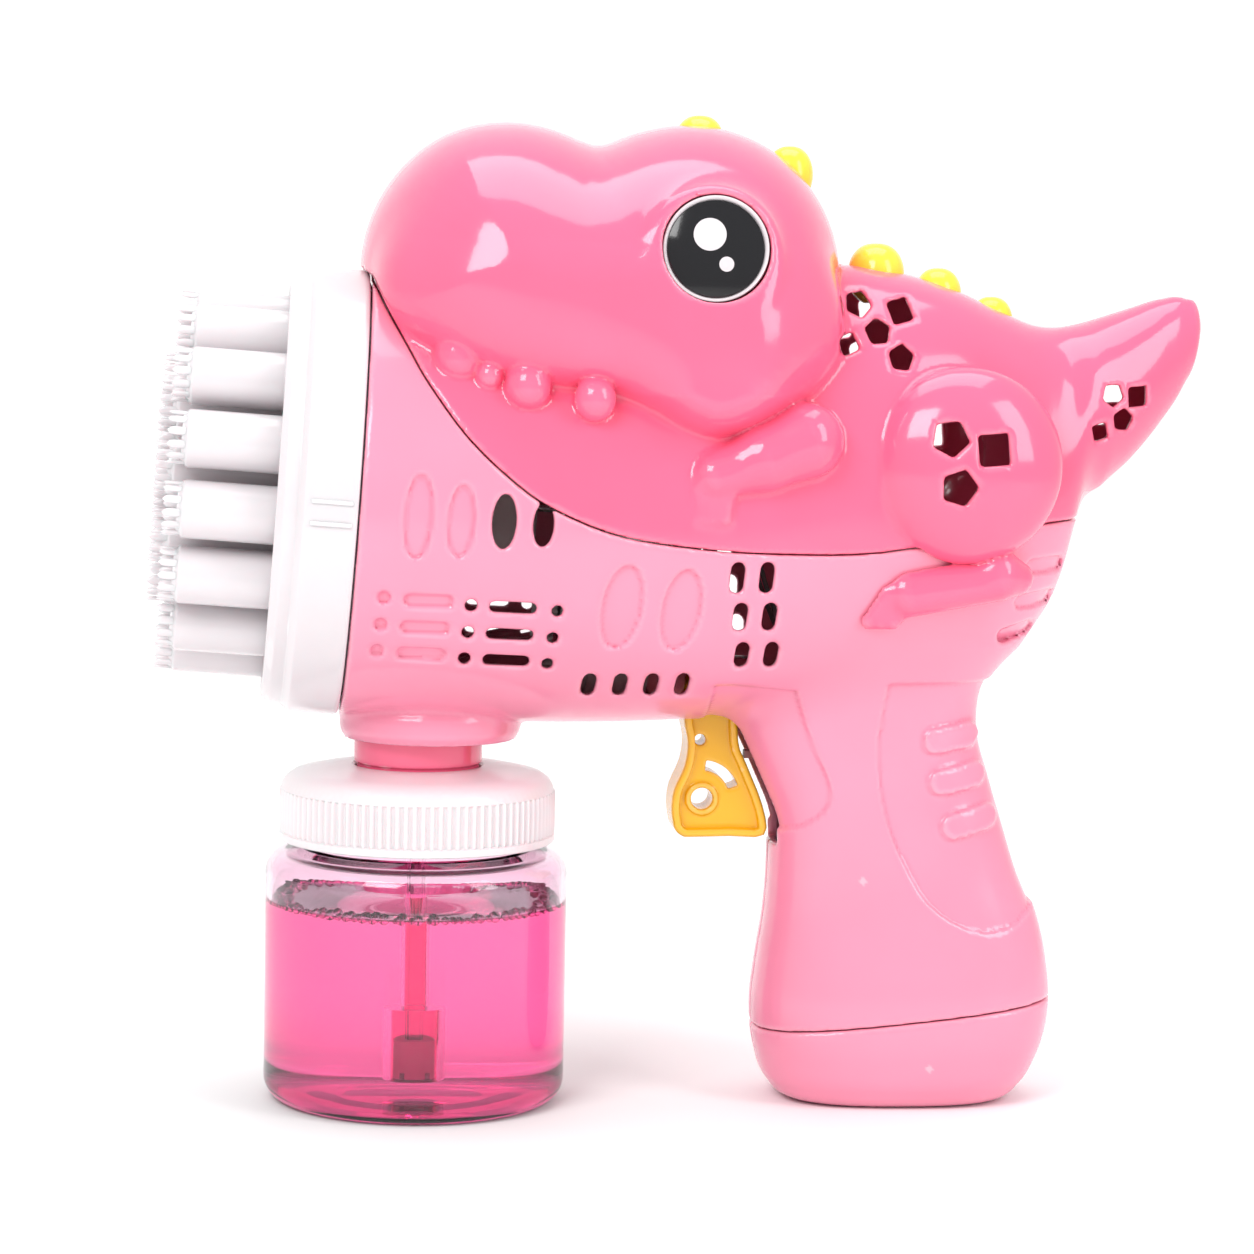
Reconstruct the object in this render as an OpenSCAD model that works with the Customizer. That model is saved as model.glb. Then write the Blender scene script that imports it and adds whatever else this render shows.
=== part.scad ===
// Dinosaur bubble gun. Millimetres, +Z up, nose towards -X.
// The origin is the centre of the bottle's foot, on the floor.

/* [Bottle] */
// Outer radius of the bottle's body
bottle_r = 32; // [28:0.5:39]
// Height of the bottle's mouth above its foot
mouth_z = 63.1; // [52:0.1:76]
// Wall of the bottle
bottle_wall = 1.4; // [1:0.1:2]
// Outer radius of the bottle's neck
neck_r = 24.2; // [20:0.1:25.5]
// Height of the bottle's shoulder below its mouth
neck_h = 9.6; // [8:0.1:14]
// Height of the liquid above the floor
fill_z = 42.7; // [10:0.1:44]

/* [Cap and neck] */
// Wall of the cap outside its thread
cap_wall = 3.4; // [2.4:0.1:5]
// Length of the cap's skirt below its ceiling
cap_skirt = 12.5; // [9:0.1:16]
// Thickness of the cap's top
cap_top_t = 3.4; // [2.5:0.1:5]
// Rise of the thread in one turn
lead = 4; // [3:0.1:5]
// Depth of the thread
thread_d = 1.1; // [0.8:0.1:1.4]
// Number of grip ribs round the cap
cap_ribs = 100; // [40:1:110]
// Outer radius of the neck socket
socket_r = 13.6; // [11:0.1:16]
// Wall of the neck socket
socket_wall = 2.4; // [1.6:0.1:3]
// Radius of the socket's flange inside the cap
flange_r = 21.6; // [18:0.1:23]
// Thickness of the socket's flange
flange_t = 2.6; // [2:0.1:4]
// Thickness of the cap's seal
seal_t = 1.9; // [1:0.1:3]
// Visible neck between the cap and the collar
neck_gap = 6; // [4:0.1:10]
// Depth of the collar under the barrel
collar_h = 5; // [3:0.1:8]
// Radius of the collar
collar_r = 19.1; // [17:0.1:24]

/* [Barrel] */
// Outer radius of the barrel at its front seam
barrel_r = 46.2; // [38:0.1:56]
// Pitch of the barrel above level, in degrees
barrel_pitch = 3.6; // [0:0.1:6]
// Place of the front seam along the object
seam_x = -14.2; // [-18:0.1:-12]
// Wall of the shells
wall = 2.3; // [1.8:0.1:3]

/* [Ring and nozzles] */
// Length of the front ring in front of its seam
ring_len = 16.6; // [12:0.1:22]
// Radius of the ring's bore
ring_bore = 41.6; // [34:0.1:50]
// Outer radius of one nozzle tube
tube_r = 5.9; // [5:0.1:6]
// Wall of one nozzle tube
tube_wall = 1.2; // [0.8:0.1:1.6]
// Number of tubes in each circle, from the outside in
tube_counts = [15, 9, 4];
// Radius of each circle of tubes
tube_circles = [34.2, 20.8, 8.7];
// Reach of each circle's tubes in front of the seam
tube_reach = [35.2, 37.7, 37.7];
// Length of the crown at a tube's end
petal_len = 3.9; // [2:0.1:6]

/* [Head and tail] */
// Half width of the head
head_w = 43; // [38:0.1:52]
// Height of the head's top above the barrel's axis
head_top = 77.8; // [70:0.1:92]
// Radius of the eye's rim
eye_r = 10.9; // [8:0.1:13]
// Radius of the black part of the eye
pupil_r = 9.7; // [6:0.1:12]

/* [Grip and trigger] */
// Half width of the grip at its palm
grip_w = 17; // [16:0.1:22]
// Width of the trigger
trigger_w = 13; // [10:0.1:15]
// Radius of the trigger's pin
pin_r = 1.5; // [1:0.1:2]
// Outer radius of the trigger's spring
spring_r = 3; // [2:0.1:3.6]

/* [Motor and pump] */
// Radius of the motor's can
motor_r = 10; // [8:0.1:10.5]
// Length of the motor's can
motor_len = 20; // [16:0.1:25]
// Radius of the motor's shaft
shaft_r = 1; // [0.8:0.1:1.5]
// Radius of the fan
fan_r = 16; // [12:0.1:19]
// Module of the gears
gear_m = 0.55; // [0.5:0.05:0.6]
// Teeth of the pinion, the reduction gear, its small gear and the pump gear
teeth = [10, 38, 10, 35];
// Radius of the pump's shaft
pump_shaft_r = 1.2; // [1:0.1:1.3]
// Radius of the pump's body
pump_r = 14; // [13:0.1:15]
// Radius of a pump roller
roller_r = 2.6; // [2:0.1:3]
// Outer radius of the fluid tubes
hose_r = 2; // [1.5:0.1:2.2]

/* [Batteries] */
// Diameter of one cell
cell_d = 14.4; // [13.5:0.1:16]
// Length of one cell
cell_len = 50.2; // [44:0.1:52]

/* [Fits] */
// Gap between bodies that move past each other
gap = 0.3; // [0.2:0.05:0.5]
// Running clearance of a shaft in its bearing
run = 0.05; // [0.02:0.01:0.1]
// Gap along the parting lines of the shells
part_gap = 0.1; // [0.05:0.05:0.3]

/* [Hidden] */
$fn = 64;

// Heights, from the floor up
seal_z = mouth_z + 0.15;
flange_z = seal_z + seal_t + 0.1;
ceiling_z = flange_z + flange_t + gap;
cap_top_z = ceiling_z + cap_top_t;
cap_z = ceiling_z - cap_skirt;
under_z = cap_top_z + neck_gap + collar_h;
axis_z = under_z + barrel_r;
shoulder_z = mouth_z - neck_h;
// Radii of the cap
cap_bore = neck_r + thread_d + 0.5;
cap_r = cap_bore + cap_wall;
// Depths along the barrel's own axis, behind the front seam
duct_z = -22;
fan_z = -34;
gear_z = -39.8;
frame_z = -49;
frame_t = 2;
pump_z = frame_z - frame_t;
// Gear centres, below the barrel's axis, with a little play
play = 0.12;
mid_axis = -(teeth[0] + teeth[1]) * gear_m / 2 - play;
pump_axis = mid_axis - (teeth[2] + teeth[3]) * gear_m / 2 - play;
orbit_r = pump_r - 2 - 2.1 - roller_r;

// ---------------------------------------------------------------- helpers

// One side of a rounded section: the sign is kept and the exponent squares the curve
function curve(v, e) = sign(v) * pow(abs(v), 2 / e);
function section(a, b, e, n) =
    [for (i = [0:n - 1]) [a * curve(cos(360 * i / n), e), b * curve(sin(360 * i / n), e)]];

// Value of a smooth curve through p1 and p2, at t from 0 to 1
function spline(p0, p1, p2, p3, t) = p1 + 0.5 * t * (p2 - p0 + t * (2 * p0 - 5 * p1 + 4 * p2 - p3
    + t * (3 * (p1 - p2) + p3 - p0)));
function smooth(list, steps) = [
    for (i = [0:len(list) - 2]) for (k = [0:steps - 1])
        spline(list[max(i - 1, 0)], list[i], list[i + 1], list[min(i + 2, len(list) - 1)],
            k / steps),
    list[len(list) - 1]];

// Closed skin over rings of points that all have the same count
module skin(rings) {
    n = len(rings[0]);
    m = len(rings);
    points = [for (ring = rings) for (p = ring) p];
    sides = [for (j = [0:m - 2]) for (i = [0:n - 1])
        [j * n + i, j * n + (i + 1) % n, (j + 1) * n + (i + 1) % n, (j + 1) * n + i]];
    first = [for (i = [0:n - 1]) n - 1 - i];
    last = [for (i = [0:n - 1]) (m - 1) * n + i];
    tris = [for (q = sides) for (t = [[q[0], q[1], q[2]], [q[0], q[2], q[3]]]) t];
    polyhedron(points, concat([first], tris, [last]), convexity = 8);
}

// Round bar along a path of points
function unit(v) = v / norm(v);
function tangent(p, i) = unit(p[min(i + 1, len(p) - 1)] - p[max(i - 1, 0)]);
module bar(path, r, n = 12, side = [0, 1, 0.01]) {
    rings = [for (i = [0:len(path) - 1])
        let (t = tangent(path, i), u = unit(cross(t, side)), v = cross(t, u))
        [for (k = [0:n - 1]) path[i] + r * (cos(360 * k / n) * u + sin(360 * k / n) * v)]];
    skin([for (ring = rings) [for (k = [0:n - 1]) ring[n - 1 - k]]]);
}

// The barrel's own frame: Z forward along its axis from the front seam, X up
module barrel() {
    translate([seam_x, 0, axis_z]) rotate([0, barrel_pitch - 90, 0]) children();
}
function from_barrel(x, y, z) = [seam_x - z * cos(barrel_pitch) + x * sin(barrel_pitch), y,
    axis_z + z * sin(barrel_pitch) + x * cos(barrel_pitch)];

// Straight gear with tapered teeth; a tooth or a gap points along +X
module gear(count, height, on_gap = false) {
    pitch_r = count * gear_m / 2;
    step = 360 / count;
    root_r = pitch_r - 1.1 * gear_m;
    tip_r = pitch_r + 0.8 * gear_m;
    turn = on_gap ? step / 2 : 0;
    linear_extrude(height) polygon([for (i = [0:count - 1]) for (c = [[root_r, -0.32],
        [tip_r, -0.12], [tip_r, 0.12], [root_r, 0.32]])
        c[0] * [cos(turn + (i + c[1]) * step), sin(turn + (i + c[1]) * step)]]);
}

module half(side, g = part_gap) {
    intersection() {
        children();
        translate([-100, side > 0 ? g / 2 : -150, -60]) cube([400, 150 - g / 2, 400]);
    }
}
module mirrored(side) {
    if (side < 0) children();
    else mirror([0, 1, 0]) children();
}
// Bar and slot shapes that stand along Y at a point of the side view
module upright(x, z, y0 = -90, len = 90) {
    translate([x, y0, z]) rotate([-90, 0, 0]) children();
}
module slot(x, z, w, h, tilt = 0, y0 = -90, len = 90) {
    translate([x, y0, z]) rotate([0, tilt, 0]) hull() {
        r = min(w, h) / 2;
        for (s = [-1, 1])
            translate([s * (w / 2 - r), 0, s * (h / 2 - r)])
                rotate([-90, 0, 0]) cylinder(r = r, h = len, $fn = 8);
    }
}
module pentagon_hole(x, z, r, turn) {
    upright(x, z) rotate(turn) cylinder(r = r, h = 90, $fn = 5);
}

// ---------------------------------------------------------------- outer forms

// Barrel, back and tail: place along X, rise of the underside, drop of the top, narrowing, exponent
barrel_line = [
    [-20, 0.2, -0.3, 0, 2], [-8, -0.5, 0.2, 0.1, 2], [6, -1.2, 0.8, 0.3, 2],
    [22, -1.6, 2.2, 1.4, 2], [40, -1.5, 3.5, 3.7, 2.05], [55, -0.9, 4, 6.4, 2.1],
    [70, -0.4, 2, 9.2, 2.1], [85, 1, -3.4, 11.6, 2.15], [100, 4.6, -2.3, 14, 2.2],
    [112, 8.6, 1.1, 16.8, 2.2], [122, 12.4, 5.4, 20, 2.15], [130, 18.8, 8.4, 23.6, 2.1],
    [135, 28, 8.7, 26, 2], [139, 43.5, 8, 28.2, 2], [145, 50, 6.2, 31, 2],
    [151, 55.6, 4.2, 33.6, 2], [157, 63, 2.3, 36.6, 2], [162, 70.8, 2, 39.6, 2],
    [165.4, 79, 4.4, 42.6, 2], [166.6, 85, 8.4, 45, 2]];
module barrel_form(in = 0, n = 20) {
    line = barrel_line;
    last_x = barrel_line[len(barrel_line) - 1][0];
    rings = [for (s = line)
        let (bottom = under_z + s[1] + in, top = under_z + 2 * barrel_r - s[2] - in,
            a = max(barrel_r - s[3] - in, 0.3), b = max((top - bottom) / 2, 0.3))
        [for (p = section(a, b, s[4], n))
            [min(s[0], last_x - 1.6 * in + (s[0] - last_x) * 0.02), -p[0],
                (top + bottom) / 2 + p[1]]]];
    skin(rings);
}

// Grip: share of the height under the barrel, front, back, narrowing from the palm's width
grip_line = [
    [0, 82, 124.5, 3.4], [0.012, 79, 127.5, 1.4], [0.048, 75.8, 130.8, -1],
    [0.121, 73.4, 134.2, -2.5], [0.242, 72.2, 136.6, -2.8], [0.364, 73.1, 135.9, -2],
    [0.485, 74.5, 133.6, -1], [0.606, 75.1, 129.4, -0.3], [0.727, 74.6, 126.1, 0],
    [0.848, 70.5, 122.9, 0], [0.97, 66, 120.1, -0.6], [1.08, 63, 120.6, -2],
    [1.2, 62, 126, -4]];
function grip_ring(s, in, n) =
    let (w = grip_w - s[3] - in, a = (s[2] - s[1]) / 2 - in, mid = (s[1] + s[2]) / 2)
    [for (p = section(a, w, 2.7, n)) [mid + p[0], -p[1], s[0] * under_z]];
module grip_form(in = 0, n = 16) {
    skin([for (s = grip_line) grip_ring(s, in, n)]);
}
// The base cap's upper edge is a plane that rises towards the back
base_rise = 7;
base_front_z = 15.8;
module below_base(g = 0) {
    rotate_y = -atan(base_rise / 64);
    translate([72, -60, base_front_z - g]) rotate([0, rotate_y, 0]) translate([-60, 0, -80])
        cube([220, 120, 80]);
}

module housing_form(in = 0) {
    barrel_form(in);
    grip_form(in);
}
module collar_form() {
    translate([2.4, 0, under_z - collar_h]) rotate_extrude($fn = 48) polygon([[0, 0],
        [collar_r - 2.6, 0], [collar_r - 0.8, 0.8], [collar_r, 2.4], [collar_r - 0.4, 4.2],
        [collar_r - 0.4, 14], [0, 14]]);
}

// Side view of the seam between the housing and the dinosaur, above the barrel's axis
seam_line = [[-40, 62], [-11.5, 45.7], [-9, 39.8], [-4.6, 31.6], [-0.5, 24.4], [7.5, 13.7],
    [17.7, 4.4], [25.9, -0.6], [38.3, -5.3], [55, -7.9], [71.8, -9], [92.8, -8.7],
    [120.8, -4.2], [139, -2.3], [180, -2]];
module above_seam(g = 0) {
    translate([0, 150, axis_z + g]) rotate([90, 0, 0]) linear_extrude(300)
        polygon(concat(seam_line, [[180, 120], [-40, 120]]));
}

module lobe(x, y, z, rx, ry, rz, in = 0) {
    translate([x, y, axis_z + z])
        scale([rx - in, ry - in, rz - in]) sphere(r = 1, $fn = 16);
}
// Snout, brow and cheeks of the head
module head_form(in = 0) {
    lobe(17.5, 0, head_top - 31, 30.5, head_w, 31, in);
    lobe(55.8, 0, head_top - 31.4, 31, head_w, 31.6, in);
    for (s = [-1, 1]) {
        lobe(18, s * (head_w - 19), head_top - 34, 27, 19, 17, in);
        lobe(60, s * (head_w - 18), head_top - 41.6, 25, 18, 20, in);
    }
}
thigh_at = [110.4, 9.1];
module thigh_form(in = 0) {
    for (s = [-1, 1])
        lobe(thigh_at[0], s * (barrel_r - 17.5), thigh_at[1], 20.2, 11.5, 20.4, in);
}
module limb(a, b, ra, rb) {
    hull() {
        translate([a[0], a[1], axis_z + a[2]]) sphere(r = ra, $fn = 8);
        translate([b[0], b[1], axis_z + b[2]]) sphere(r = rb, $fn = 8);
    }
}
// Arm, hand, foot and tooth bumps on one side; y is measured out from the middle
module reliefs() {
    arm_y = -(barrel_r - 10.6);
    foot_y = -(barrel_r - 17.4);
    limb([75.5, arm_y, 14.4], [67, arm_y - 1, 10.2], 7.6, 6.2);
    limb([67, arm_y - 1, 10.2], [57.5, arm_y - 2, 6.6], 5.6, 5);
    for (f = [-1, 0, 1])
        limb([57 + 2.2 * f, arm_y - 3, 5], [56.8 + 2.2 * f, arm_y - 3, -1.2], 2.6, 2);
    limb([116.5, foot_y, -14.6], [98.5, foot_y, -17.2], 4.6, 5.4);
    for (t = [-1, 0, 1])
        limb([97 + t * 1.6, foot_y + 0.5 * t, -17.5], [93.6 + t * 2.2, foot_y - 0.5, -23], 3.2, 2);
    for (t = [[5.3, 30.2, 4.7], [19.2, 25, 4.3], [32.3, 22.6, 4]])
        lobe(t[0], -sqrt(pow(barrel_r - 0.6, 2) - t[1] * t[1]), t[1], t[2], t[2], t[2]);
}
vents_back = [[88.7, 41.6, 8], [97.5, 40.3, 30], [92, 36.2, 50], [85.7, 33.8, 20], [96.8, 31.2, 60]];
vents_thigh = [[105.6, 14.9, 10], [114.1, 13, 40], [107.6, 5.4, 70]];
vents_tail = [[144, 23.6, 15], [149.6, 23.3, 40], [146.5, 18.6, 60], [141.2, 16.2, 30]];
module dino_vents() {
    for (v = vents_back) pentagon_hole(v[0], axis_z + v[1], 3.1, v[2]);
    for (v = vents_thigh) pentagon_hole(v[0], axis_z + v[1], 3.6, v[2]);
    for (v = vents_tail) pentagon_hole(v[0], axis_z + v[1], 2.1, v[2]);
}

// Screw places in the side view: along X, above the axis for the dinosaur, above the floor below
case_holes = [[52.4, under_z + 7], [95, under_z + 16.5],
    [124.5, under_z + 23], [112, under_z - 4.5], [129, 31]];
dino_holes = [[12, 66], [70, 62], [125, 34], [151, 30.5]];
screw_head_y = 9;
module wells() {
    upright(0, 0, y0 = 0.2) cylinder(r = 4.4, h = 80, $fn = 12);
}
module well_hole() {
    upright(0, 0, y0 = -1) cylinder(r = 1.8, h = 40, $fn = 8);
    upright(0, 0, y0 = screw_head_y) cylinder(r = 3.3, h = 80, $fn = 12);
}
module post() {
    upright(0, 0, y0 = -80) cylinder(r = 3.4, h = 79.8, $fn = 10);
}
module post_hole() {
    upright(0, 0, y0 = -9.5) cylinder(r = 1.45, h = 15, $fn = 8);
}
module at_holes(holes) {
    for (h = holes) translate([h[0], 0, h[1]]) children();
}
function lifted(list) = [for (h = list) [h[0], axis_z + h[1]]];

// ---------------------------------------------------------------- housing

module side_cuts() {
    // two open ovals, and rows of dots and bars that are open towards the back
    for (x = [14.5, 22.4]) slot(x, axis_z - 2.6 - (x - 14.5) * 0.06, 4.2, 11);
    for (row = [0:2]) {
        z = axis_z - 19.6 - row * 5.7;
        for (x = [8.3, 25.6]) slot(x - row * 0.4, z - x * 0.04, 2.6, 2.6);
        slot(16.9 - row * 0.4, z - 0.7, 10, 2.2, 2);
    }
    for (col = [0, 1]) for (row = [0:2])
        slot(62.6 + col * 6.2 + row * 1.6, axis_z - 13.8 - row * 8.2, 2.6, 6.4, 4);
    for (i = [0:3]) slot(33.5 + i * 6.5, axis_z - 36.8, 2.6, 4.8, 4);
}
trigger_slot_w = trigger_w + 2 * gap;
module trigger_way() {
    // the way through the underside and the front of the grip
    translate([52.5, -trigger_slot_w / 2, under_z - 27]) cube([40, trigger_slot_w, 37]);
}
module pivot_boss(side) {
    upright(pivot[0], pivot[1], y0 = side > 0 ? 10.8 : -60) difference() {
        cylinder(r = 3.8, h = side > 0 ? 60 : 52.7, $fn = 16);
        translate([0, 0, side > 0 ? -1 : 45.5]) cylinder(r = pin_r + 0.15, h = 8, $fn = 16);
    }
}
module front_limit() {
    barrel() translate([-200, -100, -300]) cube([400, 200, 300]);
}
door_box = [80, 122.5, 7, 66.5];
module door_cut(g) {
    translate([door_box[0] - g, 7, door_box[2] - g])
        cube([door_box[1] - door_box[0] + 2 * g, 40, door_box[3] - door_box[2] + 2 * g]);
}
module housing(side) {
    half(side) difference() {
        intersection() {
            difference() {
                union() {
                    housing_form();
                    collar_form();
                }
                below_base(-gap);
                above_seam(-0.2);
            }
            front_limit();
            union() {
                difference() {
                    union() {
                        housing_form();
                        collar_form();
                    }
                    housing_form(wall);
                }
                at_holes(case_holes) if (side > 0) wells(); else post();
                pivot_boss(side);
            }
        }
        at_holes(case_holes) if (side > 0) well_hole(); else post_hole();
        mirrored(side) side_cuts();
        trigger_way();
        translate([0, 0, under_z - 20]) cylinder(r = socket_r + gap, h = 40, $fn = 48);
        translate([0, 0, under_z + 1.2]) cylinder(r = socket_r + 2.5, h = 2, $fn = 48);
        if (side > 0) door_cut(gap);
    }
}
module housing_left() { color("lightpink") housing(-1); }
module housing_right() { color("lightpink") housing(1); }

module base_cap() {
    color("lightpink") difference() {
        intersection() {
            grip_form();
            below_base();
        }
        translate([0, 0, 2.4]) intersection() {
            grip_form(wall);
            translate([60, -40, 0]) cube([90, 80, 40]);
        }
        door_cut(gap);
        tray_block(gap);
    }
}

module battery_door() {
    color("pink") difference() {
        intersection() {
            grip_form();
            door_cut(0);
        }
        grip_form(wall - 0.3);
        upright(100, 62.5, y0 = 0) cylinder(r = 1.7, h = 40, $fn = 16);
        upright(100, 62.5, y0 = grip_w - 1.2) cylinder(r = 3.1, h = 40, $fn = 20);
    }
}

module screw(len, head_r = 2.8) {
    upright(0, 0, y0 = -len) cylinder(r = 1.25, h = len + 0.01, $fn = 24);
    difference() {
        upright(0, 0, y0 = 0) cylinder(r = head_r, h = 1.8, $fn = 32);
        for (a = [0, 90]) translate([0, 1, 0]) rotate([0, a, 0])
            translate([-1.7, 0, -0.35]) cube([3.4, 2, 0.7]);
    }
}
module door_screw() {
    color("silver") translate([100, grip_w - 1.1, 62.5]) screw(5.5, 2.6);
}
module case_screws() {
    color("silver") at_holes(case_holes) translate([0, screw_head_y + 0.1, 0]) screw(17);
}
module dino_screws() {
    color("silver") at_holes(lifted(dino_holes)) translate([0, screw_head_y + 0.1, 0]) screw(17);
}

// ---------------------------------------------------------------- dinosaur

spikes_head = [[57.2, 77.6, 5.2, 4.6], [76.4, 71.4, 5, 5]];
spikes_back = [[95.4, 51.2, 6, 5.4], [108.8, 46.6, 5, 4.8], [120.4, 41, 4.6, 4.4]];
module spike_row(list, grow = 0) {
    for (s = list) translate([s[0], 0, axis_z + s[1] - s[3] * 0.6])
        scale([s[2] + grow, s[2] * 1.15 + grow, s[3] * 1.2 + grow]) sphere(r = 1, $fn = 24);
}

module dino_solid() {
    barrel_form();
    head_form();
    thigh_form();
}
module dino_cavity() {
    barrel_form(wall);
    head_form(wall);
    thigh_form(wall);
}
module dino(side) {
    half(side) difference() {
        union() {
            // the thigh, arm and foot stand clear of the housing below the seam
            difference() {
                union() {
                    thigh_form();
                    mirrored(side) reliefs();
                }
                barrel_form(-gap);
                thigh_form(wall);
            }
            intersection() {
                difference() {
                    union() {
                        dino_solid();
                        mirrored(side) reliefs();
                    }
                    dino_cavity();
                }
                above_seam(0.2);
            }
            intersection() {
                dino_solid();
                at_holes(lifted(dino_holes)) if (side > 0) wells(); else post();
            }
        }
        at_holes(lifted(dino_holes)) if (side > 0) well_hole(); else post_hole();
        mirrored(side) dino_vents();
        mirrored(side) eye_seat();
        spike_row(spikes_head, 0.15);
        spike_row(spikes_back, 0.15);
        barrel() translate([-100, -100, 0]) cube([200, 200, 100]);
    }
}
module dino_left() { color("hotpink") dino(-1); }
module dino_right() { color("hotpink") dino(1); }

// The eye faces out and a little up from the side of the head
eye_y = head_w - 2.2;
module at_eye() {
    translate([56.1, -eye_y, axis_z + 52.4]) rotate([90 - 6, 0, -2]) children();
}
module eye_seat() {
    at_eye() translate([0, 0, -1.2]) cylinder(r = eye_r + 0.15, h = 12);
}
module eye_part(side) {
    mirrored(side) at_eye() difference() {
        translate([0, 0, -1.1]) cylinder(r1 = eye_r, r2 = eye_r - 0.4, h = 3.2);
        translate([0, 0, 0.6]) cylinder(r = pupil_r + 0.1, h = 4);
    }
}
module pupil_part(side) {
    mirrored(side) at_eye() rotate_extrude() polygon([[0, 0.65], [pupil_r, 0.65],
        [pupil_r, 1.3], [pupil_r * 0.8, 1.75], [pupil_r * 0.55, 2.15], [pupil_r * 0.28, 2.4],
        [0, 2.5]]);
}
module eye_left() { color("white") eye_part(-1); }
module eye_right() { color("white") eye_part(1); }
module pupil_left() { color("black") pupil_part(-1); }
module pupil_right() { color("black") pupil_part(1); }
module head_spikes() { color("gold") spike_row(spikes_head); }
module back_spikes() { color("gold") spike_row(spikes_back); }

// ---------------------------------------------------------------- ring and nozzles

module front_ring() {
    spigot_r = barrel_r - wall - 4 * gap;
    color("white") barrel() {
        rotate_extrude($fn = 96) polygon([[ring_bore, -4], [spigot_r, -4], [spigot_r, 0.4],
            [barrel_r + 0.3, 0.4], [barrel_r + 0.5, 1.2], [barrel_r + 0.5, ring_len - 5.4],
            [barrel_r - 0.4, ring_len - 4.6], [barrel_r - 1, ring_len - 4.4],
            [barrel_r - 1.2, ring_len - 1.2], [barrel_r - 2.4, ring_len],
            [ring_bore + 0.4, ring_len], [ring_bore, ring_len - 0.6]]);
        for (s = [-1, 1]) for (x = [-3.6, 0.4])
            translate([x, s > 0 ? barrel_r - 0.4 : -barrel_r - 1, 1.5]) cube([0.8, 1.4, 9]);
    }
}

plate_z = 8;
plate_t = 2.2;
module nozzle_tube(reach) {
    rotate_extrude($fn = 32) polygon([[tube_r - tube_wall, plate_z], [tube_r, plate_z],
        [tube_r, reach - 0.5], [tube_r - 0.5, reach], [tube_r - 0.5, reach + petal_len - 0.6],
        [tube_r - 0.9, reach + petal_len], [tube_r - tube_wall + 0.1, reach + petal_len],
        [tube_r - tube_wall, reach + petal_len - 0.4]]);
}
module at_tubes(c) {
    for (i = [0:tube_counts[c] - 1])
        rotate(i * 360 / tube_counts[c]) translate([tube_circles[c], 0, 0]) children();
}
module nozzle_head() {
    color("whitesmoke") barrel() {
        difference() {
            rotate_extrude($fn = 96) polygon([[0, plate_z], [ring_bore - 0.1, plate_z],
                [ring_bore - 0.1, ring_len - 3], [ring_bore - 1.4, ring_len - 3],
                [ring_bore - 1.4, plate_z + plate_t], [0, plate_z + plate_t]]);
            for (c = [0:2]) at_tubes(c) translate([0, 0, plate_z - 1])
                cylinder(r = tube_r - 0.3, h = 10, $fn = 32);
        }
        for (c = [0:2]) at_tubes(c) nozzle_tube(tube_reach[c]);
    }
}
module distributor_plate() {
    color("ghostwhite") barrel() difference() {
        translate([0, 0, plate_z - 4]) cylinder(r = ring_bore - 0.2, h = 2.4, $fn = 96);
        for (c = [0:2]) at_tubes(c) translate([0, 0, plate_z - 5]) cylinder(r = 3.6, h = 5, $fn = 24);
        translate([-15, 0, plate_z - 5]) cylinder(r = hose_r + 0.1, h = 5, $fn = 24);
    }
}
module air_duct() {
    duct_r = ring_bore - 0.6;
    color("lightgray") barrel() difference() {
        rotate_extrude($fn = 72) polygon([[duct_r - 1.6, plate_z - 4.2], [duct_r, plate_z - 4.2],
            [duct_r, -3], [fan_r + 3.2, duct_z], [fan_r + 3.2, duct_z - 2],
            [fan_r + 1.6, duct_z - 2], [fan_r + 1.6, duct_z + 0.6], [duct_r - 1.6, -2.4]]);
        translate([-15, 0, -40]) cylinder(r = hose_r + 0.2, h = 50, $fn = 24);
        translate([-33, 0, -14]) rotate([0, 90, 0]) cylinder(r = hose_r + 0.9, h = 14, $fn = 24);
    }
}

// ---------------------------------------------------------------- fan, motor, gears

module fan_housing() {
    color("lightgray") barrel() difference() {
        rotate_extrude($fn = 72) polygon([[shaft_r + 2, fan_z - 2.6], [fan_r + 3.2, fan_z - 2.6],
            [fan_r + 3.2, duct_z - 2.1], [fan_r + 1.6, duct_z - 2.1], [fan_r + 1.6, fan_z - 1],
            [shaft_r + 2, fan_z - 1]]);
        for (a = [0:45:315]) rotate(a) translate([9.4, 0, fan_z - 5])
            cylinder(r = 2.7, h = 8, $fn = 24);
    }
}
module fan_impeller() {
    color("deepskyblue") barrel() difference() {
        union() {
            translate([0, 0, fan_z]) cylinder(r = fan_r, h = 1.2);
            translate([0, 0, fan_z]) cylinder(r = 3.4, h = 9);
            for (i = [0:8]) rotate(i * 40) translate([3, -0.5, fan_z + 0.6]) rotate(18)
                cube([fan_r - 4.6, 1, 8]);
        }
        translate([0, 0, fan_z - 1]) cylinder(r = shaft_r, h = 12, $fn = 32);
    }
}
module motor_shaft() {
    color("silver") barrel() {
        translate([0, 0, frame_z - frame_t - motor_len - 1])
            cylinder(r = shaft_r, h = fan_z + 8 - (frame_z - frame_t - motor_len - 1), $fn = 32);
        translate([0, 0, frame_z + 0.6]) rotate(180) gear(teeth[0], 4, true);
    }
}
module motor_can() {
    color("silver") barrel() difference() {
        translate([0, 0, pump_z - motor_len]) intersection() {
            cylinder(r = motor_r, h = motor_len - 0.05);
            translate([-motor_r * 0.77, -20, 0]) cube([motor_r * 1.54, 40, 40]);
        }
        translate([0, 0, pump_z - motor_len - 1]) cylinder(r = motor_r * 0.7, h = motor_len - 0.4);
        translate([0, 0, pump_z - 4]) cylinder(r = shaft_r + run, h = 8, $fn = 32);
    }
}
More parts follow.
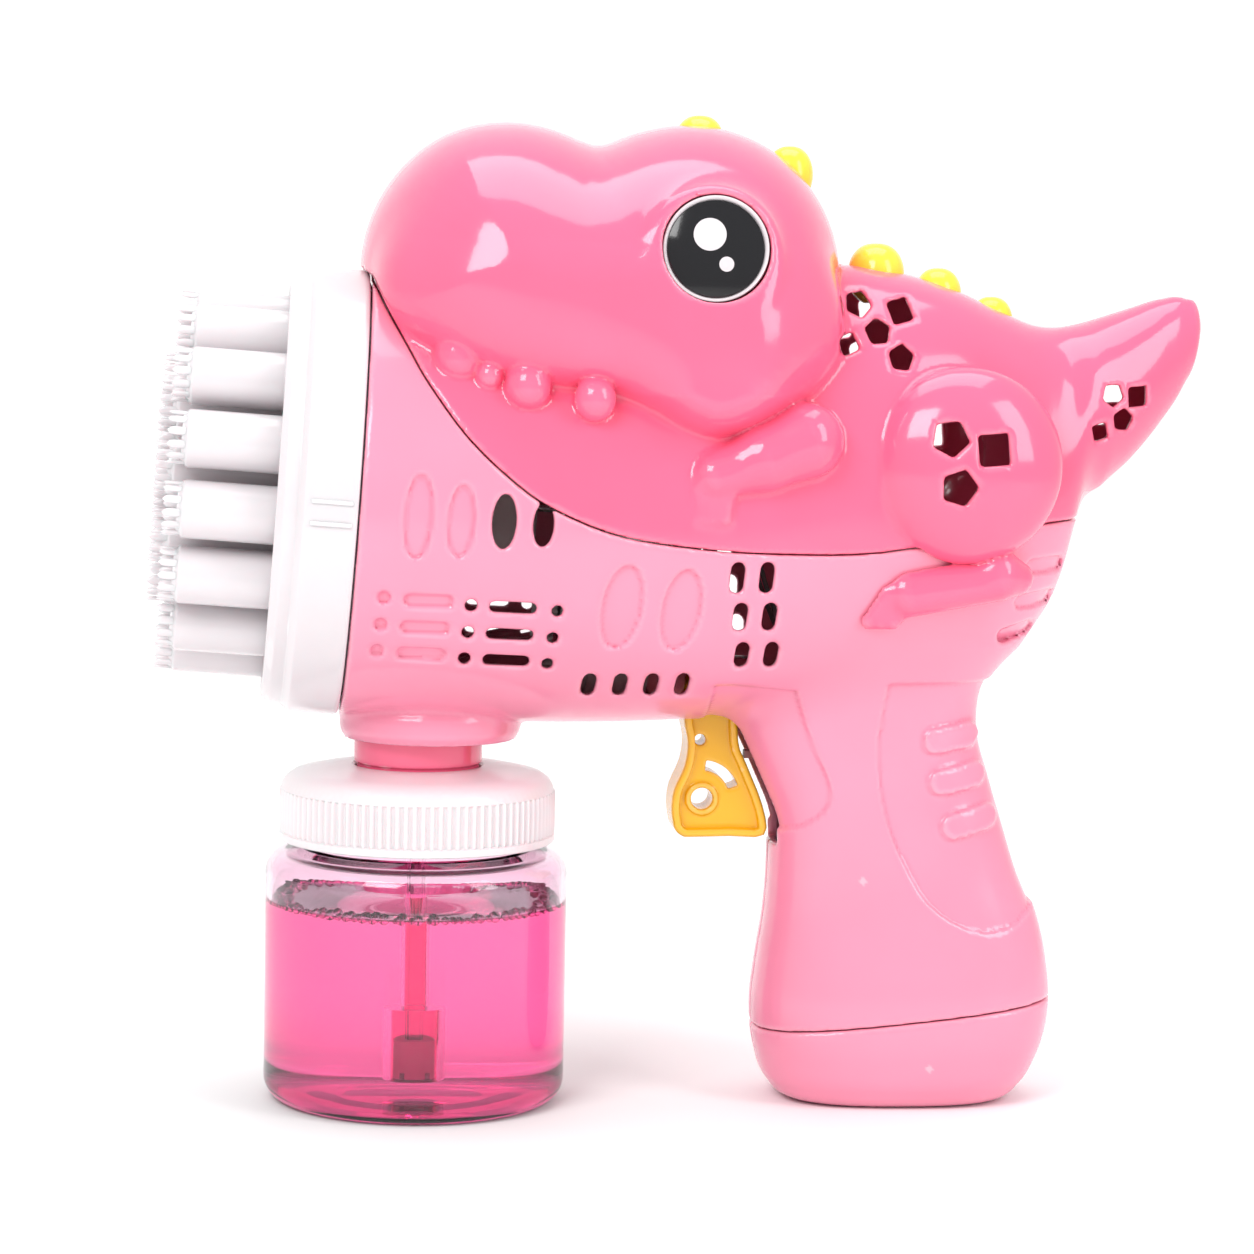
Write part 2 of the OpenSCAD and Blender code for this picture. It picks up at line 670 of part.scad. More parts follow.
module motor_end_cap() {
    color("dimgray") barrel() difference() {
        union() {
            translate([0, 0, pump_z - motor_len - 2.2]) intersection() {
                cylinder(r = motor_r, h = 2.15);
                translate([-motor_r * 0.77, -20, 0]) cube([motor_r * 1.54, 40, 40]);
            }
            translate([0, 0, pump_z - motor_len - 3.4]) cylinder(r = 2.6, h = 2);
            for (s = [-1, 1]) translate([-1, s * 6 - 0.25, pump_z - motor_len - 5.6])
                cube([2, 0.5, 4]);
        }
        translate([0, 0, pump_z - motor_len - 1.6]) cylinder(r = shaft_r + run, h = 4, $fn = 32);
    }
}
axle_r = 1.25;
module gear_frame() {
    color("ivory") barrel() difference() {
        union() {
            translate([0, 0, frame_z - frame_t + 0.01]) hull() {
                cylinder(r = motor_r + 4, h = frame_t);
                translate([pump_axis, 0, 0]) cylinder(r = 13, h = frame_t);
            }
            translate([0, 0, gear_z + 1.4]) linear_extrude(1.6) polygon([[-12, -5], [8, -5],
                [12, -17], [17, -17], [17, 17], [12, 17], [8, 5], [-12, 5]]);
            translate([7, -17, frame_z - frame_t + 0.01]) cube([10, 34, frame_t]);
            translate([mid_axis, 0, gear_z + 1.4]) cylinder(r = 3.2, h = 1.6);
            for (s = [-1, 1]) translate([12, s * 14.5 - 1.5, frame_z - 0.5])
                cube([4, 3, gear_z + 2.4 - frame_z]);
        }
        translate([0, 0, frame_z - 8]) cylinder(r = shaft_r + gap, h = 30, $fn = 32);
        translate([mid_axis, 0, frame_z - 8]) cylinder(r = axle_r, h = 30, $fn = 32);
        translate([pump_axis, 0, frame_z - 8]) cylinder(r = pump_shaft_r + run, h = 10, $fn = 32);
    }
}
module gear_axle() {
    color("silver") barrel() translate([mid_axis, 0, frame_z - frame_t])
        cylinder(r = axle_r, h = gear_z + 3 - frame_z + frame_t, $fn = 32);
}
module reduction_gear() {
    color("white") barrel() translate([mid_axis, 0, 0]) difference() {
        union() {
            translate([0, 0, frame_z + 0.8]) gear(teeth[1], 3.4);
            translate([0, 0, frame_z + 4]) rotate(180) gear(teeth[2], 5.6, true);
        }
        translate([0, 0, frame_z - 1]) cylinder(r = axle_r + run, h = 14, $fn = 32);
    }
}
module pump_gear() {
    color("white") barrel() translate([pump_axis, 0, 0]) {
        translate([0, 0, frame_z + 5]) gear(teeth[3], 4);
        translate([0, 0, frame_z - 13]) cylinder(r = pump_shaft_r, h = 18.5, $fn = 32);
    }
}
module pump_rotor() {
    color("orange") barrel() translate([pump_axis, 0, 0]) {
        difference() {
            union() {
                translate([0, 0, pump_z - 3.4]) cylinder(r = orbit_r + 1.4, h = 1.4);
                for (i = [0:2]) rotate(i * 120) translate([orbit_r, 0, pump_z - 10.2])
                    cylinder(r = 1, h = 7.4, $fn = 32);
            }
            translate([0, 0, pump_z - 12]) cylinder(r = pump_shaft_r + 0.01, h = 12, $fn = 32);
        }
    }
}
module pump_roller(i) {
    color("silver") barrel() translate([pump_axis, 0, 0]) rotate(i * 120)
        translate([orbit_r, 0, pump_z - 9.6]) difference() {
            cylinder(r = roller_r, h = 5.8, $fn = 40);
            translate([0, 0, -1]) cylinder(r = 1 + run, h = 8, $fn = 32);
        }
}
module pump_roller_1() { pump_roller(0); }
module pump_roller_2() { pump_roller(1); }
module pump_roller_3() { pump_roller(2); }
module pump_body() {
    color("ivory") barrel() translate([pump_axis, 0, 0]) difference() {
        translate([0, 0, pump_z - 11]) cylinder(r = pump_r, h = 10.95);
        translate([0, 0, pump_z - 12]) cylinder(r = pump_r - 2, h = 10.2);
        translate([0, 0, pump_z - 3]) cylinder(r = pump_shaft_r + run, h = 5, $fn = 32);
        for (s = [-1, 1]) translate([1, 0, pump_z - 6.7]) rotate([s * 90, 0, 0])
            translate([0, 0, pump_r - 3]) cylinder(r = hose_r + 0.1, h = 6, $fn = 24);
    }
}
module pump_cover() {
    color("ivory") barrel() translate([pump_axis, 0, 0]) difference() {
        translate([0, 0, pump_z - 12.8]) cylinder(r = pump_r, h = 1.7);
        translate([0, 0, pump_z - 14]) cylinder(r = pump_shaft_r + run, h = 4, $fn = 32);
    }
}
module pump_tube() {
    // pressed flat by the rollers all along its arc
    color("gainsboro") barrel() translate([pump_axis, 0, 0]) {
        translate([0, 0, pump_z - 9.4]) rotate([0, 0, 92]) rotate_extrude(angle = 176, $fn = 72)
            translate([pump_r - 4, 0]) square([1.9, 5.4]);
    }
}

// ---------------------------------------------------------------- fluid lines

// Suction: from the pump's side, forward under the duct, down the neck into the bottle
port = from_barrel(pump_axis + 1, 0, pump_z - 6.7);
reach_y = pump_r + 3.4;
suction_line = [[0, 0, 9.2], [0, 0, 22], [0, 0, 45], [0, 0, under_z - 6], [0.8, 0, under_z + 4],
    [5, -1.5, under_z + 11.5], [12, -5, under_z + 14.8], [20, -11, under_z + 15.4],
    [port[0] - 10, -reach_y, port[2] - 0.4], [port[0] - 3, -reach_y - 0.6, port[2]],
    port + [0, -pump_r - 0.8, 0], port + [0, -pump_r + 1.8, 0]];
module suction_tube() {
    color("gainsboro") bar(smooth(suction_line, 3), hose_r - 0.1, 10, [0, 1, 0.02]);
}
module suction_filter() {
    color("gray") difference() {
        translate([0, 0, 6]) cylinder(r = 4.4, h = 8, $fn = 40);
        translate([0, 0, 9]) cylinder(r = hose_r, h = 8, $fn = 32);
        for (a = [0:60:300]) rotate(a) translate([0, -0.5, 5]) cube([6, 1, 2.4]);
    }
}
feed_line = [port + [0, pump_r - 1.8, 0], port + [0, pump_r + 0.8, 0],
    [port[0] - 3, reach_y + 0.6, port[2]], [port[0] - 10, reach_y, port[2] - 0.4],
    from_barrel(-31, 13, -28), from_barrel(-31, 4, -18), from_barrel(-25, 0, -14),
    from_barrel(-18, 0, -12), from_barrel(-15.2, 0, -7), from_barrel(-15, 0, 0),
    from_barrel(-15, 0, plate_z - 2)];
module feed_tube() {
    color("gainsboro") bar(smooth(feed_line, 3), hose_r - 0.1, 10, [0.02, 1, 0.3]);
}

// ---------------------------------------------------------------- neck, cap, bottle

module neck_socket() {
    inner = socket_r - socket_wall;
    color("deeppink") rotate_extrude($fn = 72) polygon([[inner, flange_z],
        [flange_r, flange_z], [flange_r, flange_z + flange_t], [socket_r - 0.6, flange_z + flange_t],
        [socket_r - 0.6, cap_top_z + 0.4], [socket_r, cap_top_z + 0.6],
        [socket_r, under_z - collar_h - 0.2], [socket_r - 0.1, under_z + 1.3],
        [socket_r + 2.2, under_z + 1.3], [socket_r + 2.2, under_z + 2.6],
        [inner, under_z + 2.6]]);
}
module helix(r_root, r_tip, z0, turns, root_w, tip_w, start = 0) {
    steps = round(turns * 36);
    inward = r_tip < r_root;
    rings = [for (i = [0:steps])
        let (a = start + i * 10, z = z0 + lead * i / 36, c = [cos(a), sin(a), 0])
        [c * r_root + [0, 0, z - root_w / 2], c * r_tip + [0, 0, z - tip_w / 2],
            c * r_tip + [0, 0, z + tip_w / 2], c * r_root + [0, 0, z + root_w / 2]]];
    skin([for (ring = rings) inward ? [for (k = [3:-1:0]) ring[k]] : ring]);
}
thread_z = mouth_z - 5.2;
module bottle_cap() {
    color("white") {
        difference() {
            union() {
                rotate_extrude($fn = 120) polygon([[0, cap_z], [cap_r, cap_z],
                    [cap_r, cap_z + 1.6], [cap_r - 0.3, cap_z + 1.8],
                    [cap_r - 0.3, cap_top_z - 5.2], [cap_r - 0.9, cap_top_z - 3.4],
                    [cap_r - 2.6, cap_top_z - 1.9], [socket_r + 4, cap_top_z - 0.3],
                    [socket_r + 2, cap_top_z], [0, cap_top_z]]);
                for (i = [0:cap_ribs - 1]) rotate(i * 360 / cap_ribs)
                    translate([cap_r - 0.5, -0.45, cap_z + 1.5]) cube([0.55, 0.9, 8.4]);
            }
            translate([0, 0, cap_z - 1]) cylinder(r = cap_bore, h = ceiling_z - cap_z + 1);
            translate([0, 0, cap_z]) cylinder(r = socket_r + gap - 0.6, h = 40);
        }
        helix(cap_bore + 0.2, cap_bore - thread_d, thread_z - 1, 1.1, 1.7, 0.9, 180);
    }
}
module cap_seal() {
    color("snow") difference() {
        translate([0, 0, seal_z]) cylinder(r = flange_r + 1.4, h = seal_t);
        translate([0, 0, seal_z - 1]) cylinder(r = socket_r - socket_wall + 1, h = seal_t + 2);
    }
}
foot_r = bottle_r - 4.7;
function arc(cx, cy, r, a0, a1, n = 6) =
    [for (i = [0:n]) [cx + r * cos(a0 + (a1 - a0) * i / n), cy + r * sin(a0 + (a1 - a0) * i / n)]];
module bottle() {
    r = bottle_r;
    w = bottle_wall;
    s = shoulder_z;
    outer = concat([[0, 0], [foot_r, 0]],
        arc(r - 4.7, 4.7, 4.7, -80, 0), arc(r - 5, s - 5, 5, 0, 80),
        [[neck_r + 0.4, s + 0.3], [neck_r, s + 0.8], [neck_r, mouth_z]]);
    inner = concat([[neck_r - w, mouth_z], [neck_r - w, s]], arc(r - 5, s - 5, 5 - w, 80, 0),
        arc(r - 4.7, 4.7 + w * 0.4, 4.7 - w, 0, -80), [[foot_r - 2.6, w + 0.4],
        [foot_r - 9, w + 1.2], [0, w + 1.8]]);
    color("deeppink", 0.4) {
        rotate_extrude($fn = 96) polygon(concat(outer, inner));
        helix(neck_r - 0.2, neck_r + thread_d, thread_z - 1, 1, 1.7, 0.9);
    }
}
module bubble_solution() {
    r = bottle_r;
    w = bottle_wall + 0.05;
    profile = concat([[0, w + 1.8], [foot_r - 9, w + 1.2], [foot_r - 2.6, w + 0.4]],
        arc(r - 4.7, 4.7 + w * 0.4, 4.7 - w, -80, 0), [[r - w, fill_z - 1],
        [r - w, fill_z], [0, fill_z]]);
    color("deeppink", 0.6) difference() {
        rotate_extrude($fn = 96) polygon(profile);
        translate([0, 0, 10]) cylinder(r = hose_r + 0.6, h = fill_z, $fn = 32);
        translate([0, 0, 5.5]) cylinder(r = 4.9, h = 15.1, $fn = 40);
    }
}

// ---------------------------------------------------------------- trigger and switch

pivot = [62.5, under_z + 8.5];
module trigger_profile() {
    t = under_z;
    polygon(concat([[57, t + 6], [57, t + 3], [55.7, t - 0.5], [56.8, t - 5.5], [56.2, t - 10.5],
        [53.9, t - 15.5], [53.4, t - 19.6]], arc(57.4, t - 22.4, 3.4, 180, 262, 4),
        [[74.2, t - 25.4], [73.4, t - 19], [69.5, t - 10], [67.6, t - 5], [67.4, t + 6]],
        arc(pivot[0], pivot[1], 4.9, 0, 180, 8)));
}
module trigger() {
    t = under_z;
    web = trigger_w / 2 - 2;
    color("gold") difference() {
        translate([0, trigger_w / 2, 0]) rotate([90, 0, 0]) linear_extrude(trigger_w)
            trigger_profile();
        upright(60.2, t - 17.6, y0 = -20) cylinder(r = 2.3, h = 40, $fn = 32);
        upright(59.6, t - 5, y0 = -20) cylinder(r = 1.2, h = 40, $fn = 24);
        translate([0, 20, 0]) rotate([90, 0, 0]) linear_extrude(40)
            polygon(concat(arc(60.2, t - 17.6, 8.2, 20, 84, 8), arc(60.2, t - 17.6, 6, 84, 20, 8)));
        for (s = [-1, 1]) translate([0, s > 0 ? 20 + web : -web, 0]) rotate([90, 0, 0])
            linear_extrude(20) offset(r = -1.7) trigger_profile();
        upright(pivot[0], pivot[1], y0 = -20) cylinder(r = pin_r + run, h = 40, $fn = 32);
    }
}
module trigger_pin() {
    color("silver") upright(pivot[0], pivot[1], y0 = -14)
        cylinder(r = pin_r, h = 28, $fn = 32);
}
// Torsion spring on the pin beside the trigger: a rear leg, three turns and a front leg
module trigger_spring() {
    turns = 3;
    end = 90 + turns * 360 + 90;
    wire = 0.35;
    y0 = trigger_w / 2 + wire + 0.3;
    rise = 2 * wire + 0.08;
    coil = [for (a = [90:30:end]) [pivot[0] + spring_r * cos(a), y0 + rise * (a - 90) / 360,
        pivot[1] + spring_r * sin(a)]];
    last = coil[len(coil) - 1];
    color("silver") bar(concat([[pivot[0] + 11, y0, pivot[1] + spring_r]], coil,
        [last + [0, 0.05, -2.5], last + [0, 0.1, -4.5]]), wire, 5);
}
switch_x = 74.4;
switch_z = under_z - 8.5;
plunger = [6.3, 2.8, 1.6];
module switch_body() {
    color("dimgray") {
        difference() {
            translate([switch_x, -3, switch_z - 4.2]) cube([6.4, 6, 8.6]);
            translate([switch_x - 1, -plunger[1] / 2 - 0.15, switch_z - plunger[2] / 2 - 0.15])
                cube([5.9, plunger[1] + 0.3, plunger[2] + 0.3]);
        }
        for (z = [-2.6, 0, 2.6]) translate([switch_x + 6.3, -1, switch_z + z - 0.25])
            cube([3.4, 2, 0.5]);
    }
}
module switch_plunger() {
    color("red") translate([switch_x + 1.4 - plunger[0], -plunger[1] / 2,
        switch_z - plunger[2] / 2]) cube(plunger);
}

// ---------------------------------------------------------------- batteries and wires

cell_z = 7.6;
cell_y = 4.6;
cell_x = [for (i = [0:2]) 86.1 + i * (cell_d + 0.2)];
tray_x0 = cell_x[0] - cell_d / 2 - 0.6;
tray_x1 = cell_x[2] + cell_d / 2 + 0.6;
module tray_block(g = 0) {
    translate([tray_x0 - g, cell_y - cell_d / 2 - 1.6 - g, cell_z - 3.1 - g])
        cube([tray_x1 - tray_x0 + 2 * g, cell_d / 2 + 1.4 + 2 * g, cell_len + 3.9 + 2 * g]);
}
module battery_tray() {
    color("dimgray") difference() {
        tray_block();
        for (x = cell_x) translate([x, cell_y, cell_z - 2.3])
            cylinder(r = cell_d / 2 + 0.2, h = cell_len + 2.8);
    }
}
module batteries() {
    color("royalblue") for (i = [0:2]) translate([cell_x[i], cell_y, cell_z]) {
        cylinder(r = cell_d / 2, h = cell_len - 1.2);
        translate([0, 0, cell_len - 1.3]) cylinder(r = 2.7, h = 1.3);
    }
}
module battery_springs() {
    color("silver") for (x = cell_x) {
        line = [for (i = [0:20]) [x + (4.6 - 0.09 * i) * cos(i * 36),
            cell_y + (4.6 - 0.09 * i) * sin(i * 36), cell_z - 1.6 + 1.25 * i / 20]];
        bar(line, 0.3, 5, [0.01, 0.02, 1]);
    }
}
module battery_contacts() {
    color("silver") for (x = cell_x) {
        translate([x - 4, cell_y - 5, cell_z - 2.25]) cube([8, 8, 0.3]);
        translate([x - 4, cell_y - 5, cell_z + cell_len + 0.1]) cube([8, 8, 0.3]);
    }
}
module battery_wires() {
    top = cell_z + cell_len + 1.2;
    for (s = [-1, 1]) color(s > 0 ? "red" : "black")
        bar(smooth([[101.4 + 4 * s, -0.6 * s - 1, top], [101 + 4 * s, -1 - s, top + 4],
            [96 + 2 * s, -1 - 2 * s, switch_z - 5], [90, -1.6 * s, switch_z - 3.4 + s],
            [switch_x + 10.4, -0.4 * s, switch_z - 1.3 + 1.3 * s]], 3), 0.5, 6);
}
module motor_wires() {
    end = from_barrel(0, 0, pump_z - motor_len - 6.3);
    for (s = [-1, 1]) color(s > 0 ? "red" : "black")
        bar(smooth([[end[0] + 0.6, s * 6, end[2]], [end[0] + 6, s * 6.5, end[2] - 2],
            [end[0] + 10, s * 6, end[2] - 14], [switch_x + 5, s * 4, under_z + 12],
            [switch_x + 13, s * 2, switch_z + 7],
            [switch_x + 10.4, s * 0.8, switch_z + 3 + s * 0.9]], 3), 0.5, 6);
}

housing_left();
housing_right();
dino_left();
dino_right();
base_cap();
battery_door();
door_screw();
case_screws();
dino_screws();
front_ring();
nozzle_head();
distributor_plate();
air_duct();
fan_housing();
fan_impeller();
motor_shaft();
motor_can();
motor_end_cap();
gear_frame();
reduction_gear();
gear_axle();
pump_gear();
pump_rotor();
pump_roller_1();
pump_roller_2();
pump_roller_3();
pump_body();
pump_cover();
pump_tube();
suction_tube();
suction_filter();
feed_tube();
neck_socket();
bottle_cap();
cap_seal();
bottle();
bubble_solution();
trigger();
trigger_pin();
trigger_spring();
switch_body();
switch_plunger();
battery_tray();
batteries();
battery_springs();
battery_contacts();
battery_wires();
motor_wires();
eye_left();
eye_right();
pupil_left();
pupil_right();
head_spikes();
back_spikes();
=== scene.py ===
"""Looks of a dinosaur bubble gun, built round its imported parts.

Lengths in this file are in millimetres, in the row frame: +Z up, the nose towards -X, the animal's
left side towards -Y, and the origin at the centre of the bottle's foot. Meshes are written in metres.
"""

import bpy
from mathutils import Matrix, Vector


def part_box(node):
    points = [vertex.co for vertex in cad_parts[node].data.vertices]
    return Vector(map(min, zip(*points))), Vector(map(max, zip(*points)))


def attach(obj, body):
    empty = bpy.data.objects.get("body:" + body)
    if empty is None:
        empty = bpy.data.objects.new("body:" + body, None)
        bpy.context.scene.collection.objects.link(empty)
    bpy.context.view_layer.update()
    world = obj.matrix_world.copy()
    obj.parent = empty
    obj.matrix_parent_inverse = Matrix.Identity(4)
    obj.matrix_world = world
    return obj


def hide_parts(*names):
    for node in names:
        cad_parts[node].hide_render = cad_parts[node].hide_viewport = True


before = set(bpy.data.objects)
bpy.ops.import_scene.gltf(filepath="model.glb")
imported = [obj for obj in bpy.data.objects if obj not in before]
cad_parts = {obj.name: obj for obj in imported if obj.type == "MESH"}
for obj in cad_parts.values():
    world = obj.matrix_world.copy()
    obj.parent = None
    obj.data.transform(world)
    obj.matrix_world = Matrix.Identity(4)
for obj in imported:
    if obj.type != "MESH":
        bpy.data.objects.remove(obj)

import logging
import math
from dataclasses import dataclass, field
from enum import Enum
from typing import Callable, Iterable, Sequence

import bmesh
import bpy
import numpy as np
from mathutils import Matrix, Vector

LOG = logging.getLogger("bubble_gun")
MM = 0.001
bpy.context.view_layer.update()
Point2 = tuple[float, float]
Point3 = tuple[float, float, float]


# ---------------------------------------------------------------- measures taken from the frame


def span(node: str) -> tuple[Vector, Vector]:
    """Corners of a CAD node's box, in millimetres.

    Args:
        node: name of the CAD node.

    Returns:
        The lowest and the highest corner.
    """
    low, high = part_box(node)
    return low / MM, high / MM


BOTTLE_HIGH = span("bottle")[1]
CAP_LOW, CAP_HIGH = span("bottle_cap")
SOCKET_LOW, SOCKET_HIGH = span("neck_socket")
BARREL_R = -span("housing_left")[0].y
UNDER_Z = SOCKET_HIGH.z - 2.6
AXIS_Z = UNDER_Z + BARREL_R
SEAM_X = -14.2
PITCH = math.radians(3.6)
WALL = 2.3
PARTING = 0.06


def barrel_matrix() -> Matrix:
    """Place of the barrel's own frame: Z forward along its axis from the front seam, X up."""
    c, s = math.cos(PITCH), math.sin(PITCH)
    return Matrix(((s, 0, -c, SEAM_X), (0, 1, 0, 0), (c, 0, s, AXIS_Z), (0, 0, 0, 1)))


# ---------------------------------------------------------------- meshes


def mesh_object(name: str, points: np.ndarray, faces: Sequence[Sequence[int]]) -> bpy.types.Object:
    """Makes an object from points in millimetres.

    Args:
        name: name of the object.
        points: one row for each point.
        faces: the points of each face.

    Returns:
        The new object, linked to the scene.
    """
    mesh = bpy.data.meshes.new(name)
    mesh.from_pydata((np.asarray(points, float) * MM).tolist(), [], [list(f) for f in faces])
    mesh.validate()
    obj = bpy.data.objects.new(name, mesh)
    bpy.context.scene.collection.objects.link(obj)
    return obj


def soften(obj: bpy.types.Object, angle: float = 34.0) -> bpy.types.Object:
    """Shades an object smoothly, apart from edges that turn more than an angle in degrees."""
    made = bmesh.new()
    made.from_mesh(obj.data)
    bmesh.ops.recalc_face_normals(made, faces=made.faces)
    for face in made.faces:
        face.smooth = True
    for edge in made.edges:
        edge.smooth = len(edge.link_faces) == 2 and edge.calc_face_angle(0.0) < math.radians(angle)
    made.to_mesh(obj.data)
    made.free()
    return obj


def bevel(obj: bpy.types.Object, width: float, segments: int = 2, angle: float = 34.0) -> bpy.types.Object:
    """Rounds the sharp edges of an object by a width in millimetres."""
    made = bmesh.new()
    made.from_mesh(obj.data)
    bmesh.ops.remove_doubles(made, verts=made.verts, dist=1e-6)
    bmesh.ops.recalc_face_normals(made, faces=made.faces)
    sharp = [e for e in made.edges
             if len(e.link_faces) == 2 and e.calc_face_angle(0.0) > math.radians(angle)]
    bmesh.ops.bevel(made, geom=sharp, offset=width * MM, segments=segments, profile=0.5,
                    affect="EDGES", clamp_overlap=True)
    made.to_mesh(obj.data)
    made.free()
    return obj


def rounded(points: Sequence[Point2], radius: float, steps: int = 4) -> list[Point2]:
    """Replaces each inner corner of an open outline by an arc.

    Args:
        points: the outline.
        radius: radius of the arcs, held to under half of each side.
        steps: pieces in one arc.

    Returns:
        The outline with its corners rounded.
    """
    out = [points[0]]
    for before, at, after in zip(points, points[1:], points[2:]):
        a, b, c = Vector(before), Vector(at), Vector(after)
        reach = min(radius, (a - b).length * 0.45, (c - b).length * 0.45)
        start, end = b + (a - b).normalized() * reach, b + (c - b).normalized() * reach
        for i in range(steps + 1):
            t = i / steps
            out.append(tuple(start * (1 - t) ** 2 + b * 2 * t * (1 - t) + end * t**2))
    out.append(points[-1])
    return out


def lathe(name: str, profile: Sequence[Point2], steps: int = 96, closed: bool = True,
          wave: Callable[[float, float, float], float] | None = None) -> bpy.types.Object:
    """Turns an outline of (radius, height) about Z.

    Args:
        name: name of the object.
        profile: the outline.
        steps: pieces in one turn.
        closed: whether the outline's end joins its start.
        wave: change of a point's radius from (radius, height, angle), for ribs.

    Returns:
        The new object.
    """
    rings = []
    for k in range(steps):
        a = 2 * math.pi * k / steps
        rings.append([((r + (wave(r, z, a) if wave else 0)) * math.cos(a),
                       (r + (wave(r, z, a) if wave else 0)) * math.sin(a), z) for r, z in profile])
    n = len(profile)
    faces = [(k * n + i, k * n + (i + 1) % n, (k + 1) % steps * n + (i + 1) % n, (k + 1) % steps * n + i)
             for k in range(steps) for i in range(n if closed else n - 1)]
    obj = mesh_object(name, np.array(rings).reshape(-1, 3), faces)
    made = bmesh.new()
    made.from_mesh(obj.data)
    bmesh.ops.remove_doubles(made, verts=made.verts, dist=1e-6)
    bmesh.ops.dissolve_degenerate(made, edges=made.edges, dist=1e-7)
    made.to_mesh(obj.data)
    made.free()
    return soften(obj)


def moved(obj: bpy.types.Object, matrix: Matrix) -> bpy.types.Object:
    """Moves an object's points by a matrix in millimetres."""
    scaled = matrix.copy()
    scaled.translation = matrix.translation * MM
    obj.data.transform(scaled)
    return obj


def joined(name: str, parts: Sequence[bpy.types.Object]) -> bpy.types.Object:
    """Joins objects into the first of them and renames it."""
    base = parts[0]
    made = bmesh.new()
    for part in parts:
        made.from_mesh(part.data)
    made.to_mesh(base.data)
    made.free()
    for part in parts[1:]:
        bpy.data.objects.remove(part)
    base.name = name
    return base


# ---------------------------------------------------------------- solid fields


@dataclass(frozen=True)
class Grid:
    """Even lattice of sample points."""

    low: Point3
    high: Point3
    cell: float

    def axes(self) -> list[np.ndarray]:
        """Places along X, Y and Z, each shaped so that they spread over the lattice."""
        lines = [np.arange(a, b + self.cell, self.cell, dtype=np.float32)
                 for a, b in zip(self.low, self.high)]
        return [lines[0][:, None, None], lines[1][None, :, None], lines[2][None, None, :]]


def merge(a: np.ndarray, b: np.ndarray, blend: float) -> np.ndarray:
    """Union of two fields with a soft crease."""
    h = np.clip(blend - np.abs(a - b), 0, None) / blend
    return np.minimum(a, b) - h * h * blend * 0.25


def common(a: np.ndarray, b: np.ndarray, blend: float) -> np.ndarray:
    """Intersection of two fields with a soft edge."""
    return -merge(-a, -b, blend)


def ellipsoid(g: Sequence[np.ndarray], centre: Point3, radii: Point3) -> np.ndarray:
    """Distance to an ellipsoid, good near its surface."""
    p = [(g[i] - centre[i]) / radii[i] for i in range(3)]
    k0 = np.sqrt(p[0] ** 2 + p[1] ** 2 + p[2] ** 2)
    k1 = np.sqrt((p[0] / radii[0]) ** 2 + (p[1] / radii[1]) ** 2 + (p[2] / radii[2]) ** 2)
    return k0 * (k0 - 1) / np.maximum(k1, 1e-4)


def capsule(g: Sequence[np.ndarray], a: Point3, b: Point3, ra: float, rb: float) -> np.ndarray:
    """Distance to a rounded bar that tapers from one end to the other."""
    d = np.subtract(b, a)
    t = sum((g[i] - a[i]) * d[i] for i in range(3)) / float(d @ d)
    t = np.clip(t, 0, 1)
    return np.sqrt(sum((g[i] - a[i] - t * d[i]) ** 2 for i in range(3))) - (ra + (rb - ra) * t)


def true_distance(g: np.ndarray, cell: float) -> np.ndarray:
    """Rescales a field so that it grows by one for each millimetre near its surface."""
    slope = np.sqrt(sum(x * x for x in np.gradient(g, cell)))
    return np.clip(g / np.maximum(slope, 1e-3), -30, 30).astype(np.float32)


def outline_distance(x: np.ndarray, z: np.ndarray, ring: Sequence[Point2]) -> np.ndarray:
    """Distance to a closed outline in the side view, negative inside."""
    best = np.full(np.broadcast(x, z).shape, 1e9, np.float32)
    inside = np.zeros(best.shape, bool)
    for (ax, az), (bx, bz) in zip(ring, [*ring[1:], ring[0]]):
        dx, dz = bx - ax, bz - az
        t = np.clip(((x - ax) * dx + (z - az) * dz) / max(dx * dx + dz * dz, 1e-9), 0, 1)
        best = np.minimum(best, np.hypot(x - ax - t * dx, z - az - t * dz))
        crosses = (z < az) != (z < bz)
        inside ^= crosses & (x < ax + (z - az) * dx / (dz if abs(dz) > 1e-9 else 1e-9))
    return np.where(inside, -best, best)


def curve_through(points: Sequence[Point2], steps: int = 5, closed: bool = False) -> list[Point2]:
    """Smooth curve through points of the side view."""
    n = len(points)
    p = np.array(points, float)
    out = []
    for i in range(n if closed else n - 1):
        at = [p[(i + k) % n] if closed else p[min(max(i + k, 0), n - 1)] for k in (-1, 0, 1, 2)]
        for k in range(steps):
            t = k / steps
            out.append(tuple(at[1] + 0.5 * t * (at[2] - at[0] + t * (
                2 * at[0] - 5 * at[1] + 4 * at[2] - at[3] + t * (3 * (at[1] - at[2]) + at[3] - at[0])))))
    if not closed:
        out.append(tuple(p[-1]))
    return out


def stadium(x: np.ndarray, z: np.ndarray, at: Point2, w: float, h: float, tilt: float = 0.0) -> np.ndarray:
    """Distance to a bar with round ends in the side view."""
    c, s = math.cos(math.radians(tilt)), math.sin(math.radians(tilt))
    u, v = (x - at[0]) * c - (z - at[1]) * s, (x - at[0]) * s + (z - at[1]) * c
    r = min(w, h) / 2
    return np.hypot(np.maximum(np.abs(u) - w / 2 + r, 0), np.maximum(np.abs(v) - h / 2 + r, 0)) - r


